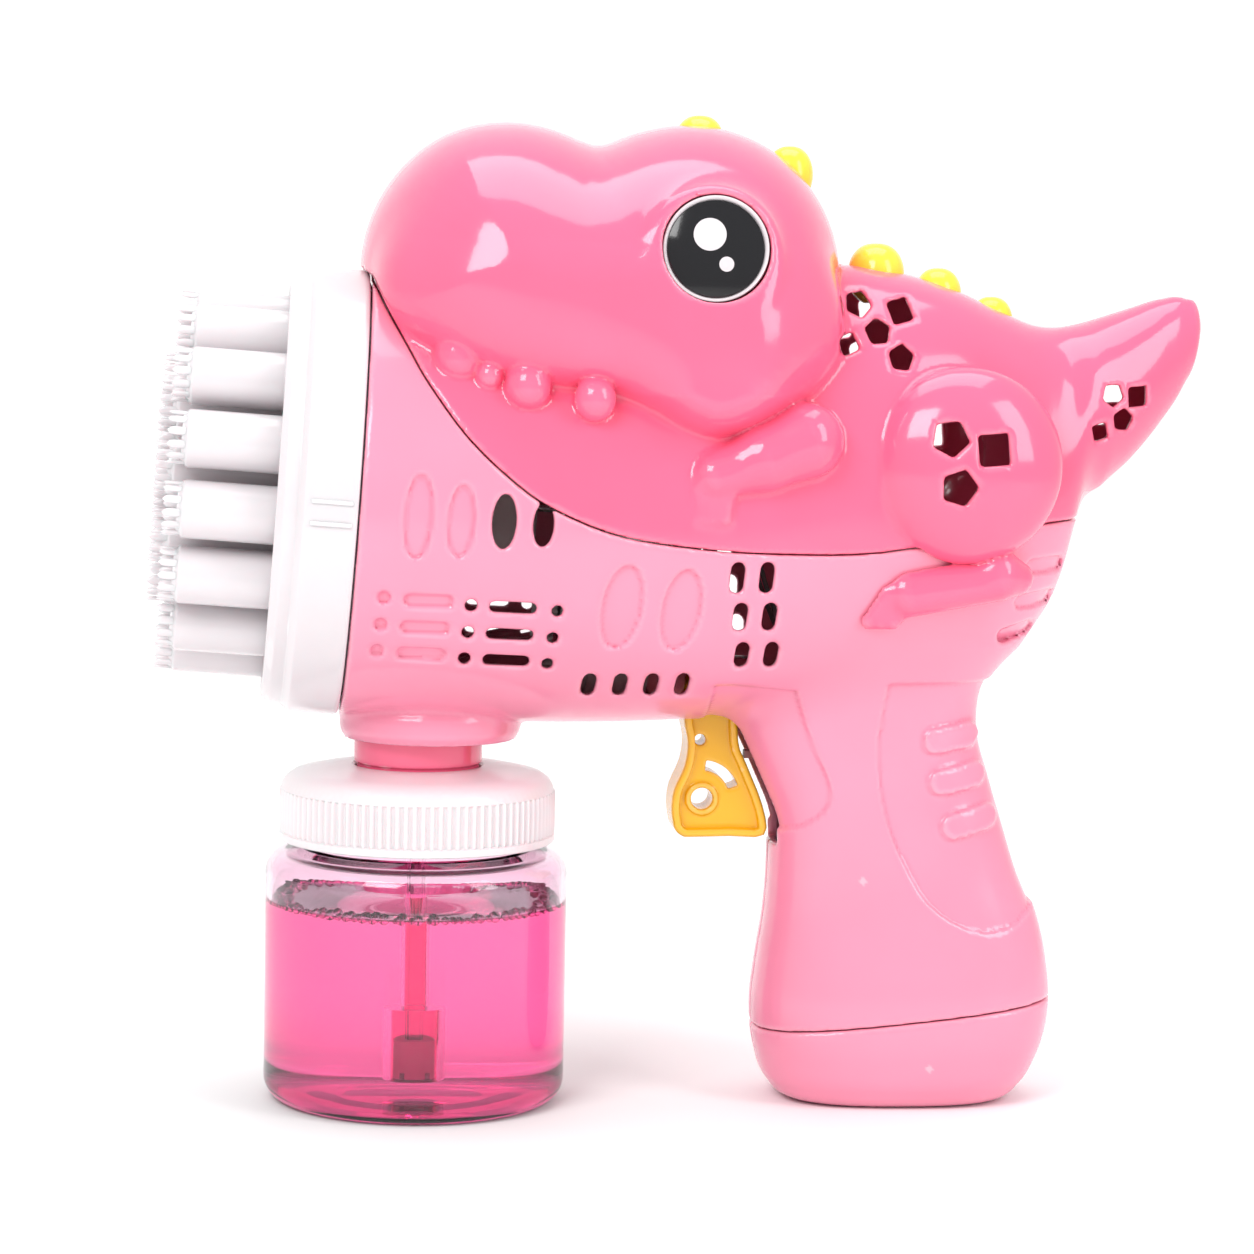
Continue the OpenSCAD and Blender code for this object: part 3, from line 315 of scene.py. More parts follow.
def oval(x: np.ndarray, z: np.ndarray, at: Point2, w: float, h: float, tilt: float = 0.0) -> np.ndarray:
    """Distance to an oval in the side view."""
    c, s = math.cos(math.radians(tilt)), math.sin(math.radians(tilt))
    u, v = ((x - at[0]) * c - (z - at[1]) * s) / (w / 2), ((x - at[0]) * s + (z - at[1]) * c) / (h / 2)
    k0 = np.hypot(u, v)
    return k0 * (k0 - 1) / np.maximum(np.hypot(u / (w / 2), v / (h / 2)), 1e-3)


def pebble(x: np.ndarray, z: np.ndarray, at: Point2, r: float, turn: float, sides: int = 5) -> np.ndarray:
    """Distance to a rounded many-sided hole in the side view."""
    a = np.arctan2(z - at[1], x - at[0]) + math.radians(turn)
    step = 2 * math.pi / sides
    a = np.mod(a, step) - step / 2
    return np.hypot(x - at[0], z - at[1]) * np.cos(a) * 0.93 - r * 0.8


def surface(name: str, f: np.ndarray, grid: Grid, mirrored: bool = False) -> bpy.types.Object:
    """Makes a mesh of quads where a field changes sign.

    Args:
        name: name of the object.
        f: values of the field on the lattice, negative inside.
        grid: the lattice.
        mirrored: whether to flip the result to the +Y side.

    Returns:
        The new object, without loose crumbs.
    """
    f = np.pad(f, 1, constant_values=5.0)
    neg = f < 0
    size = np.array(f.shape) - 1
    corners = [(i, j, k) for i in (0, 1) for j in (0, 1) for k in (0, 1)]
    cut = [tuple(slice(c[a], c[a] + size[a]) for a in range(3)) for c in corners]
    count = sum(neg[c].astype(np.int8) for c in cut)
    cells = np.argwhere((count > 0) & (count < 8))
    index = np.full(tuple(size), -1, np.int64)
    index[tuple(cells.T)] = np.arange(len(cells))
    values = np.stack([f[tuple((cells + c).T)] for c in corners], 1)
    total, hits = np.zeros((len(cells), 3)), np.zeros(len(cells))
    for a in range(8):
        for b in range(a + 1, 8):
            step = np.subtract(corners[b], corners[a])
            if np.abs(step).sum() != 1:
                continue
            va, vb = values[:, a], values[:, b]
            crossing = (va < 0) != (vb < 0)
            t = np.where(crossing, va / np.where(crossing, va - vb, 1), 0)
            total[crossing] += (np.array(corners[a]) + t[:, None] * step)[crossing]
            hits[crossing] += 1
    points = (cells + total / hits[:, None] - 1) * grid.cell + np.array(grid.low)
    faces = []
    for axis in range(3):
        b, c = (axis + 1) % 3, (axis + 2) % 3
        here = [slice(None)] * 3
        there = [slice(None)] * 3
        here[axis], there[axis] = slice(0, -1), slice(1, None)
        change = neg[tuple(here)] != neg[tuple(there)]
        at = np.argwhere(change)
        at = at[(at[:, b] > 0) & (at[:, c] > 0) & (at[:, b] < size[b]) & (at[:, c] < size[c])]
        offsets = [(0, 0), (1, 0), (1, 1), (0, 1)]
        quad = []
        for ob, oc in offsets:
            place = at.copy()
            place[:, b] -= ob
            place[:, c] -= oc
            quad.append(index[tuple(place.T)])
        quad = np.stack(quad, 1)
        outward = neg[tuple(at.T)]
        quad[~outward] = quad[~outward][:, ::-1]
        faces.append(quad)
    quads = np.concatenate(faces)
    quads = quads[(quads >= 0).all(1)]
    label = np.arange(len(points))
    while True:
        low = label[quads].min(1)
        fresh = label.copy()
        np.minimum.at(fresh, quads.ravel(), np.repeat(low, 4))
        fresh = fresh[fresh]
        if (fresh == label).all():
            break
        label = fresh
    sizes = np.bincount(label[quads[:, 0]], minlength=len(points))
    quads = quads[sizes[label[quads[:, 0]]] > max(sizes.max() * 0.02, 40)]
    used, packed = np.unique(quads, return_inverse=True)
    points, quads = points[used], packed.reshape(-1, 4)
    if mirrored:
        points = points * (1, -1, 1)
        quads = quads[:, ::-1]
    mesh = bpy.data.meshes.new(name)
    mesh.vertices.add(len(points))
    mesh.vertices.foreach_set("co", (points * MM).astype(np.float32).ravel())
    mesh.loops.add(quads.size)
    mesh.loops.foreach_set("vertex_index", quads.astype(np.int32).ravel())
    mesh.polygons.add(len(quads))
    mesh.polygons.foreach_set("loop_start", np.arange(0, quads.size, 4, dtype=np.int32))
    mesh.polygons.foreach_set("loop_total", np.full(len(quads), 4, np.int32))
    mesh.polygons.foreach_set("use_smooth", np.ones(len(quads), bool))
    mesh.update()
    mesh.validate()
    obj = bpy.data.objects.new(name, mesh)
    bpy.context.scene.collection.objects.link(obj)
    return obj


# ---------------------------------------------------------------- finishes


def effect(name: str, inputs: Sequence[tuple[str, str, object]], outputs: Sequence[tuple[str, str]],
           wire: Callable[[bpy.types.NodeTree, bpy.types.Node, bpy.types.Node], None]) -> bpy.types.NodeTree:
    """Builds a shader node group once.

    Args:
        name: name of the group.
        inputs: name, socket type and default value of each input.
        outputs: name and socket type of each output.
        wire: fills the group between its input and output nodes.

    Returns:
        The group.
    """
    if name in bpy.data.node_groups:
        return bpy.data.node_groups[name]
    tree = bpy.data.node_groups.new(name, "ShaderNodeTree")
    for label, kind, value in inputs:
        tree.interface.new_socket(label, in_out="INPUT", socket_type=kind).default_value = value
    for label, kind in outputs:
        tree.interface.new_socket(label, in_out="OUTPUT", socket_type=kind)
    wire(tree, tree.nodes.new("NodeGroupInput"), tree.nodes.new("NodeGroupOutput"))
    return tree


def noise(tree: bpy.types.NodeTree, scale: float, detail: float = 3.0) -> bpy.types.Node:
    """Noise texture on the object's own coordinates."""
    place = tree.nodes.new("ShaderNodeTexCoord")
    made = tree.nodes.new("ShaderNodeTexNoise")
    made.inputs["Scale"].default_value = scale
    made.inputs["Detail"].default_value = detail
    tree.links.new(place.outputs["Object"], made.inputs["Vector"])
    return made


def wire_moulding(tree: bpy.types.NodeTree, start: bpy.types.Node, end: bpy.types.Node) -> None:
    """Moulded plastic: flow marks in the colour, painted highlight on convex edges, painted shade in
    hollows, uneven gloss, fine grain.
    """
    links = tree.links
    flow, gloss, grain = noise(tree, 38, 2), noise(tree, 160, 4), noise(tree, 2600, 2)
    spread = tree.nodes.new("ShaderNodeMapRange")
    spread.inputs["From Min"].default_value, spread.inputs["From Max"].default_value = 0.3, 0.7
    links.new(flow.outputs["Fac"], spread.inputs["Value"])
    tone = tree.nodes.new("ShaderNodeMix")
    tone.data_type = "RGBA"
    links.new(spread.outputs["Result"], tone.inputs["Factor"])
    links.new(start.outputs["Color"], tone.inputs["A"])
    links.new(start.outputs["Flow Color"], tone.inputs["B"])
    shape = tree.nodes.new("ShaderNodeNewGeometry")
    hollow, edge = tree.nodes.new("ShaderNodeMapRange"), tree.nodes.new("ShaderNodeMapRange")
    # pointiness picks out concave hollows, where painted shade goes, and convex edges, where a painted
    # highlight goes
    for node, low, high in ((hollow, 0.49, 0.42), (edge, 0.51, 0.6)):
        node.inputs["From Min"].default_value, node.inputs["From Max"].default_value = low, high
        links.new(shape.outputs["Pointiness"], node.inputs["Value"])
    links.new(start.outputs["Edge"], edge.inputs["To Max"])
    links.new(start.outputs["Hollow"], hollow.inputs["To Max"])
    # painted shade: a darker, deeper colour mixed in where the surface is concave
    painted_shade = tree.nodes.new("ShaderNodeMix")
    painted_shade.data_type = "RGBA"
    links.new(hollow.outputs["Result"], painted_shade.inputs["Factor"])
    links.new(tone.outputs["Result"], painted_shade.inputs["A"])
    links.new(start.outputs["Hollow Shade Color"], painted_shade.inputs["B"])
    # painted highlight: a paler colour mixed in on convex edges
    edge_highlight = tree.nodes.new("ShaderNodeMix")
    edge_highlight.data_type = "RGBA"
    links.new(edge.outputs["Result"], edge_highlight.inputs["Factor"])
    links.new(painted_shade.outputs["Result"], edge_highlight.inputs["A"])
    links.new(start.outputs["Edge Highlight Color"], edge_highlight.inputs["B"])
    links.new(edge_highlight.outputs["Result"], end.inputs["Color"])
    rough = tree.nodes.new("ShaderNodeMath")
    rough.operation = "MULTIPLY_ADD"
    links.new(gloss.outputs["Fac"], rough.inputs[0])
    links.new(start.outputs["Rough Spread"], rough.inputs[1])
    links.new(start.outputs["Roughness"], rough.inputs[2])
    links.new(rough.outputs["Value"], end.inputs["Roughness"])
    bump = tree.nodes.new("ShaderNodeBump")
    bump.inputs["Distance"].default_value = 0.00003
    links.new(start.outputs["Grain"], bump.inputs["Strength"])
    links.new(grain.outputs["Fac"], bump.inputs["Height"])
    links.new(bump.outputs["Normal"], end.inputs["Normal"])


def moulding() -> bpy.types.NodeTree:
    """The group for moulded plastic and painted parts, with painted shade in hollows and a painted highlight
    on edges.
    """
    colour, number = "NodeSocketColor", "NodeSocketFloat"
    return effect("Moulding", [
        ("Color", colour, (1, 1, 1, 1)), ("Flow Color", colour, (1, 1, 1, 1)),
        # the edge colour is a painted highlight on convex edges and the hollow colour is painted shade in
        # hollows
        ("Edge Highlight Color", colour, (1, 1, 1, 1)), ("Hollow Shade Color", colour, (0, 0, 0, 1)),
        ("Edge", number, 0.5), ("Hollow", number, 0.6), ("Roughness", number, 0.2),
        ("Rough Spread", number, 0.1), ("Grain", number, 0.2)],
        [("Color", colour), ("Roughness", number), ("Normal", "NodeSocketVector")], wire_moulding)


class Tint(Enum):
    """Colours of the toy, as linear red, green and blue."""

    LIGHT_PINK = (0.86, 0.275, 0.40)
    HOT_PINK = (0.93, 0.135, 0.26)
    WHITE = (0.70, 0.655, 0.675)
    CAP = (0.76, 0.71, 0.725)
    YELLOW = (0.85, 0.46, 0.004)
    SPIKE = (0.93, 0.72, 0.03)
    BLACK = (0.006, 0.006, 0.008)
    SATIN = (0.74, 0.73, 0.70)
    DARK = (0.03, 0.03, 0.034)
    BLUE = (0.04, 0.3, 0.62)
    ORANGE = (0.8, 0.25, 0.03)
    RED = (0.55, 0.02, 0.02)
    FOAM = (0.82, 0.81, 0.78)


@dataclass(frozen=True)
class Plastic:
    """Moulded plastic."""

    name: str
    tint: Tint
    roughness: float = 0.16
    spread: float = 0.08
    grain: float = 0.12
    # edge: strength of the painted highlight on convex edges
    edge: float = 0.45
    # hollow: strength of the painted shade in concave hollows
    hollow: float = 0.5
    flow: float = 0.06
    glow: float = 0.0
    coat: float = 0.35
    # colour of the painted shade in hollows; a darker tone of the tint when not given
    painted_shade: tuple[float, float, float] | None = None

    def build(self) -> bpy.types.Material:
        """Makes the material, or returns it if it is already there."""
        if self.name in bpy.data.materials:
            return bpy.data.materials[self.name]
        made = bpy.data.materials.new(self.name)
        made.use_nodes = True
        shader = made.node_tree.nodes["Principled BSDF"]
        body = made.node_tree.nodes.new("ShaderNodeGroup")
        body.node_tree = moulding()
        c = np.array(self.tint.value)
        # painted shade colour for hollows: the given one, or a darker, deeper tone of the tint
        painted_shade = np.array(self.painted_shade) if self.painted_shade else c * c * 0.8
        # the paler edge colour is a painted highlight; the hollow colour is painted shade
        for label, value in (("Color", c), ("Flow Color", c * (1 - self.flow)),
                             ("Edge Highlight Color", c + (1 - c) * 0.45), ("Hollow Shade Color", painted_shade)):
            body.inputs[label].default_value = (*np.clip(value, 0, 1), 1)
        for label, value in (("Edge", self.edge), ("Hollow", self.hollow), ("Roughness", self.roughness),
                             ("Rough Spread", self.spread), ("Grain", self.grain)):
            body.inputs[label].default_value = value
        shader.inputs["Coat Weight"].default_value = self.coat
        shader.inputs["Coat Roughness"].default_value = 0.04
        shader.inputs["IOR"].default_value = 1.48
        if self.glow:
            shader.inputs["Subsurface Weight"].default_value = self.glow
            shader.inputs["Subsurface Radius"].default_value = (1.0, 0.45, 0.5)
            shader.inputs["Subsurface Scale"].default_value = 0.0025
        for label, socket in (("Color", "Base Color"), ("Roughness", "Roughness"), ("Normal", "Normal")):
            made.node_tree.links.new(body.outputs[label], shader.inputs[socket])
        return made


@dataclass(frozen=True)
class Metal:
    """Plated or drawn metal with fine scratches along its length."""

    name: str
    color: tuple[float, float, float] = (0.6, 0.6, 0.6)
    roughness: float = 0.22

    def build(self) -> bpy.types.Material:
        """Makes the material, or returns it if it is already there."""
        if self.name in bpy.data.materials:
            return bpy.data.materials[self.name]
        made = bpy.data.materials.new(self.name)
        made.use_nodes = True
        tree = made.node_tree
        shader = tree.nodes["Principled BSDF"]
        shader.inputs["Metallic"].default_value = 1.0
        scratch = noise(tree, 900, 6)
        rough = tree.nodes.new("ShaderNodeMapRange")
        rough.inputs["To Min"].default_value = self.roughness * 0.6
        rough.inputs["To Max"].default_value = self.roughness * 1.7
        tree.links.new(scratch.outputs["Fac"], rough.inputs["Value"])
        tree.links.new(rough.outputs["Result"], shader.inputs["Roughness"])
        ramp = tree.nodes.new("ShaderNodeValToRGB")
        ramp.color_ramp.elements[0].color = (*(0.7 * v for v in self.color), 1)
        ramp.color_ramp.elements[1].color = (*self.color, 1)
        ramp.color_ramp.elements[1].position = 0.6
        tree.links.new(scratch.outputs["Fac"], ramp.inputs["Fac"])
        tree.links.new(ramp.outputs["Color"], shader.inputs["Base Color"])
        bump = tree.nodes.new("ShaderNodeBump")
        bump.inputs["Distance"].default_value = 0.00001
        bump.inputs["Strength"].default_value = 0.3
        tree.links.new(scratch.outputs["Fac"], bump.inputs["Height"])
        tree.links.new(bump.outputs["Normal"], shader.inputs["Normal"])
        return made


@dataclass(frozen=True)
class Clear:
    """Clear moulded plastic or tinted liquid."""

    name: str
    color: tuple[float, float, float]
    ior: float = 1.46
    roughness: float = 0.01
    ripple: float = 0.04
    scale: float = 90.0

    def build(self) -> bpy.types.Material:
        """Makes the material, or returns it if it is already there."""
        if self.name in bpy.data.materials:
            return bpy.data.materials[self.name]
        made = bpy.data.materials.new(self.name)
        made.use_nodes = True
        tree = made.node_tree
        shader = tree.nodes["Principled BSDF"]
        shader.inputs["Transmission Weight"].default_value = 1.0
        shader.inputs["IOR"].default_value = self.ior
        wave = noise(tree, self.scale, 1)
        tone = tree.nodes.new("ShaderNodeValToRGB")
        tone.color_ramp.elements[0].color = (*(0.97 * v for v in self.color), 1)
        tone.color_ramp.elements[1].color = (*self.color, 1)
        tree.links.new(wave.outputs["Fac"], tone.inputs["Fac"])
        tree.links.new(tone.outputs["Color"], shader.inputs["Base Color"])
        rough = tree.nodes.new("ShaderNodeMapRange")
        rough.inputs["To Min"].default_value = self.roughness
        rough.inputs["To Max"].default_value = self.roughness * 2.5
        tree.links.new(wave.outputs["Fac"], rough.inputs["Value"])
        tree.links.new(rough.outputs["Result"], shader.inputs["Roughness"])
        bump = tree.nodes.new("ShaderNodeBump")
        bump.inputs["Distance"].default_value = 0.0003
        bump.inputs["Strength"].default_value = self.ripple
        tree.links.new(wave.outputs["Fac"], bump.inputs["Height"])
        tree.links.new(bump.outputs["Normal"], shader.inputs["Normal"])
        return made


# the shade colours given here are painted into each plastic's hollows as shade
LIGHT_PINK = Plastic("Light pink plastic", Tint.LIGHT_PINK, 0.17, 0.08, painted_shade=(0.62, 0.03, 0.11))
HOT_PINK = Plastic("Hot pink plastic", Tint.HOT_PINK, 0.11, 0.06, painted_shade=(0.62, 0.008, 0.05), hollow=0.6)
WHITE = Plastic("White plastic", Tint.WHITE, 0.2, 0.08, glow=0.25, flow=0.03, edge=0.3, hollow=0.2,
                painted_shade=(0.66, 0.56, 0.6))
CAP_WHITE = Plastic("Cap plastic", Tint.CAP, 0.26, 0.1, glow=0.5, flow=0.03, edge=0.4, hollow=0.3,
                    painted_shade=(0.68, 0.6, 0.63))
YELLOW = Plastic("Yellow plastic", Tint.YELLOW, 0.2, 0.08, painted_shade=(0.62, 0.2, 0.0), edge=0.35)
SPIKE = Plastic("Spike plastic", Tint.SPIKE, 0.18, 0.08, painted_shade=(0.75, 0.4, 0.0), glow=0.15)
BLACK = Plastic("Eye black", Tint.BLACK, 0.08, 0.03, edge=0.0, hollow=0.0, coat=0.15)
EYE_WHITE = Plastic("Eye white", Tint.WHITE, 0.15, 0.05, edge=0.1, hollow=0.1, painted_shade=(0.6, 0.4, 0.45))
SATIN = Plastic("Inner white plastic", Tint.SATIN, 0.42, 0.15, 0.3, coat=0.0)
DARK = Plastic("Dark plastic", Tint.DARK, 0.4, 0.15, 0.4, coat=0.0)
BLUE = Plastic("Fan plastic", Tint.BLUE, 0.3)
ORANGE = Plastic("Rotor plastic", Tint.ORANGE, 0.35, coat=0.0)
RED = Plastic("Red plastic", Tint.RED, 0.3)
FOAM = Plastic("Seal foam", Tint.FOAM, 0.75, 0.15, 0.8, coat=0.0)
STEEL = Metal("Plated steel")
NICKEL = Metal("Nickel strip", (0.68, 0.64, 0.58), 0.15)
SLEEVE = Metal("Cell sleeve", (0.05, 0.14, 0.42), 0.3)
BOTTLE_CLEAR = Clear("Bottle plastic", (1.0, 0.80, 0.90), 1.46, 0.012, 0.10, 60)
SOLUTION = Clear("Bubble solution", (1.0, 0.19, 0.45), 1.34, 0.004, 0.02, 30)
BUBBLE = Clear("Bubble film", (1.0, 0.72, 0.86), 1.2, 0.01, 0.0, 30)
HOSE = Clear("Clear hose", (0.97, 0.93, 0.95), 1.36, 0.04, 0.02, 300)


def dress(obj: bpy.types.Object, finish: Plastic | Metal | Clear) -> bpy.types.Object:
    """Gives an object its finish in its one material slot."""
    obj.data.materials.clear()
    obj.data.materials.append(finish.build())
    return obj


def settle(obj: bpy.types.Object, finish: Plastic | Metal | Clear, body: str,
           nodes: Iterable[str] = ()) -> bpy.types.Object:
    """Dresses a piece, makes it ride on its body, and lets it stand for its CAD nodes.

    Args:
        obj: the piece.
        finish: its finish.
        body: the CAD body that it moves with.
        nodes: the CAD nodes that it stands for.

    Returns:
        The piece.
    """
    dress(obj, finish)
    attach(obj, body)
    if nodes:
        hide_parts(*nodes)
    LOG.info("%s: %d points", obj.name, len(obj.data.vertices))
    return obj


# ---------------------------------------------------------------- shells


@dataclass
class Forms:
    """Outer forms that the shells share, drawn for the -Y side."""

    barrel_line: list[tuple[float, ...]] = field(default_factory=lambda: [
        (-20, 0.2, -0.3, 0, 2), (-8, -0.5, 0.2, 0.1, 2), (6, -1.2, 0.8, 0.3, 2),
        (22, -1.6, 2.2, 1.4, 2), (40, -1.5, 3.5, 3.7, 2.05), (55, -0.9, 4, 6.4, 2.1),
        (70, -0.4, 2, 9.2, 2.1), (85, 1, -3.4, 11.6, 2.15), (100, 4.6, -2.3, 14, 2.2),
        (112, 8.6, 1.1, 16.8, 2.2), (122, 12.4, 5.4, 20, 2.15), (130, 18.8, 8.4, 23.6, 2.1),
        (135, 28, 8.7, 26, 2), (139, 43.5, 8, 28.2, 2), (145, 50, 6.2, 31, 2),
        (151, 55.6, 4.2, 33.6, 2), (157, 63, 2.3, 36.6, 2), (162, 70.8, 2, 39.6, 2),
        (165.4, 79, 4.4, 42.6, 2), (166.6, 85, 8.4, 45, 2)])
    grip_line: list[tuple[float, ...]] = field(default_factory=lambda: [
        (-0.02, 84, 122.5, 5.4), (0, 81.5, 125, 3.2), (0.012, 79, 127.5, 1.4), (0.048, 75.8, 130.8, -1),
        (0.121, 73.4, 134.2, -2.5), (0.242, 72.2, 136.6, -2.8), (0.364, 73.1, 135.9, -2),
        (0.485, 74.5, 133.6, -1), (0.606, 75.1, 129.4, -0.3), (0.727, 74.6, 126.1, 0),
        (0.848, 70.5, 122.9, 0), (0.97, 66, 120.1, -0.6), (1.08, 63, 120.6, -2), (1.2, 62, 126, -4)])
    tail_x: float = 166.4
    grip_w: float = 17.0
    seam_line: list[Point2] = field(default_factory=lambda: [
        (-11.5, 45.7), (-9, 39.8), (-4.6, 31.6), (-0.5, 24.4), (7.5, 13.7), (17.7, 4.4), (25.9, -0.6),
        (38.3, -5.3), (55, -7.9), (71.8, -9), (92.8, -8.7), (120.8, -4.2), (139, -2.3), (180, -2)])
    collar_r: float = 19.1
    collar_x: float = 2.4
    collar_h: float = 5.0

    def at(self, line: Sequence[tuple[float, ...]], place: np.ndarray, column: int) -> np.ndarray:
        """Value of one column of a list of sections, smooth from section to section.

        Args:
            line: the sections, each with its place first.
            place: where the value is wanted.
            column: number of the column.

        Returns:
            The values, at every place.
        """
        xs, ys = np.array([s[0] for s in line]), np.array([s[column] for s in line])
        slope = np.gradient(ys, xs)
        i = np.clip(np.searchsorted(xs, place) - 1, 0, len(xs) - 2)
        h = xs[i + 1] - xs[i]
        t = np.clip((place - xs[i]) / h, 0, 1)
        return ((2 * t**3 - 3 * t**2 + 1) * ys[i] + (t**3 - 2 * t**2 + t) * h * slope[i]
                + (3 * t**2 - 2 * t**3) * ys[i + 1] + (t**3 - t**2) * h * slope[i + 1]).astype(np.float32)

    def barrel(self, g: Sequence[np.ndarray], cell: float) -> np.ndarray:
        """Barrel, back and tail.

        Args:
            g: places of the lattice along each axis.
            cell: pitch of the lattice.

        Returns:
            The field, negative inside.
        """
        x = np.clip(g[0], -20, 166.6)
        rise, drop, narrow, power = (self.at(self.barrel_line, x, i) for i in (1, 2, 3, 4))
        low, high = UNDER_Z + rise, UNDER_Z + 2 * BARREL_R - drop
        a, b = np.maximum(BARREL_R - narrow, 0.8), np.maximum((high - low) / 2, 0.8)
        y, z = np.abs(g[1]) / a, np.abs(g[2] - (high + low) / 2) / b
        f = (y**power + z**power) ** (1 / power) - 1
        end = np.broadcast_to(g[0] - self.tail_x, f.shape)
        return common(true_distance(f * np.minimum(a, b), cell), end, 3.0)

    def grip(self, g: Sequence[np.ndarray], cell: float) -> np.ndarray:
        """Grip, from its base to the barrel.

        Args:
            g: places of the lattice along each axis.
            cell: pitch of the lattice.

        Returns:
            The field, negative inside.
        """
        share = np.clip(g[2] / UNDER_Z, -0.02, 1.2)
        front, back, narrow = (self.at(self.grip_line, share, i) for i in (1, 2, 3))
        a, w = (back - front) / 2, self.grip_w - narrow
        f = ((np.abs(g[0] - (front + back) / 2) / a) ** 2.7 + (np.abs(g[1]) / w) ** 2.7) ** (1 / 2.7) - 1
        top = np.broadcast_to(g[2] - UNDER_Z * 1.2, f.shape)
        return common(true_distance(f * np.minimum(a, w), cell), top, 1.0)

    def collar(self, g: Sequence[np.ndarray]) -> np.ndarray:
        """Round collar under the barrel.

        Args:
            g: places of the lattice along each axis.

        Returns:
            The field, negative inside.
        """
        r = np.hypot(g[0] - self.collar_x, g[1])
        top, bottom = UNDER_Z + 8, UNDER_Z - self.collar_h
        lip = np.maximum(np.hypot(np.maximum(r - self.collar_r + 2.2, 0),
                                  np.maximum(np.abs(g[2] - UNDER_Z + 1.6) - 1.2, 0)) - 2.2, -20)
        drum = np.maximum(r - self.collar_r + 0.9, np.abs(g[2] - (top + bottom) / 2) - (top - bottom) / 2)
        return merge(lip, drum, 0.8)

    def seam(self, g: Sequence[np.ndarray]) -> np.ndarray:
        """Distance to the dinosaur's side of the seam in the side view, negative inside."""
        line = [(-40.0, 62.0), *curve_through(self.seam_line, 4), (180.0, 130.0), (-40.0, 130.0)]
        return outline_distance(g[0][:, 0], g[2][0], [(x, z + AXIS_Z) for x, z in line])[:, None, :]

    def mouth(self, g: Sequence[np.ndarray]) -> np.ndarray:
        """Distance past the front seam, along the barrel's axis."""
        return -(g[0] - SEAM_X) * math.cos(PITCH) + (g[2] - AXIS_Z) * math.sin(PITCH)


@dataclass
class Wells:
    """Screw wells on the hidden side, each at (x, z)."""

    places: list[Point2]
    outer: float = 4.4
    bore: float = 3.3
    seat_y: float = 9.0

    def apply(self, shell: np.ndarray, outer: np.ndarray, g: Sequence[np.ndarray]) -> np.ndarray:
        """Adds the wells' tubes to a shell and opens them.

        Args:
            shell: field of the hollow shell.
            outer: field of the solid form.
            g: places of the lattice along each axis.

        Returns:
            The field, negative inside.
        """
        for x, z in self.places:
            r = np.hypot(g[0] - x, g[2] - z)
            shell = np.minimum(shell, np.maximum(outer, r - self.outer))
            hole = np.maximum(r - self.bore, g[1] + self.seat_y)
            shell = common(shell, -np.maximum(hole, -40), 0.6)
            shell = np.maximum(shell, -(r - 1.6))
        return shell


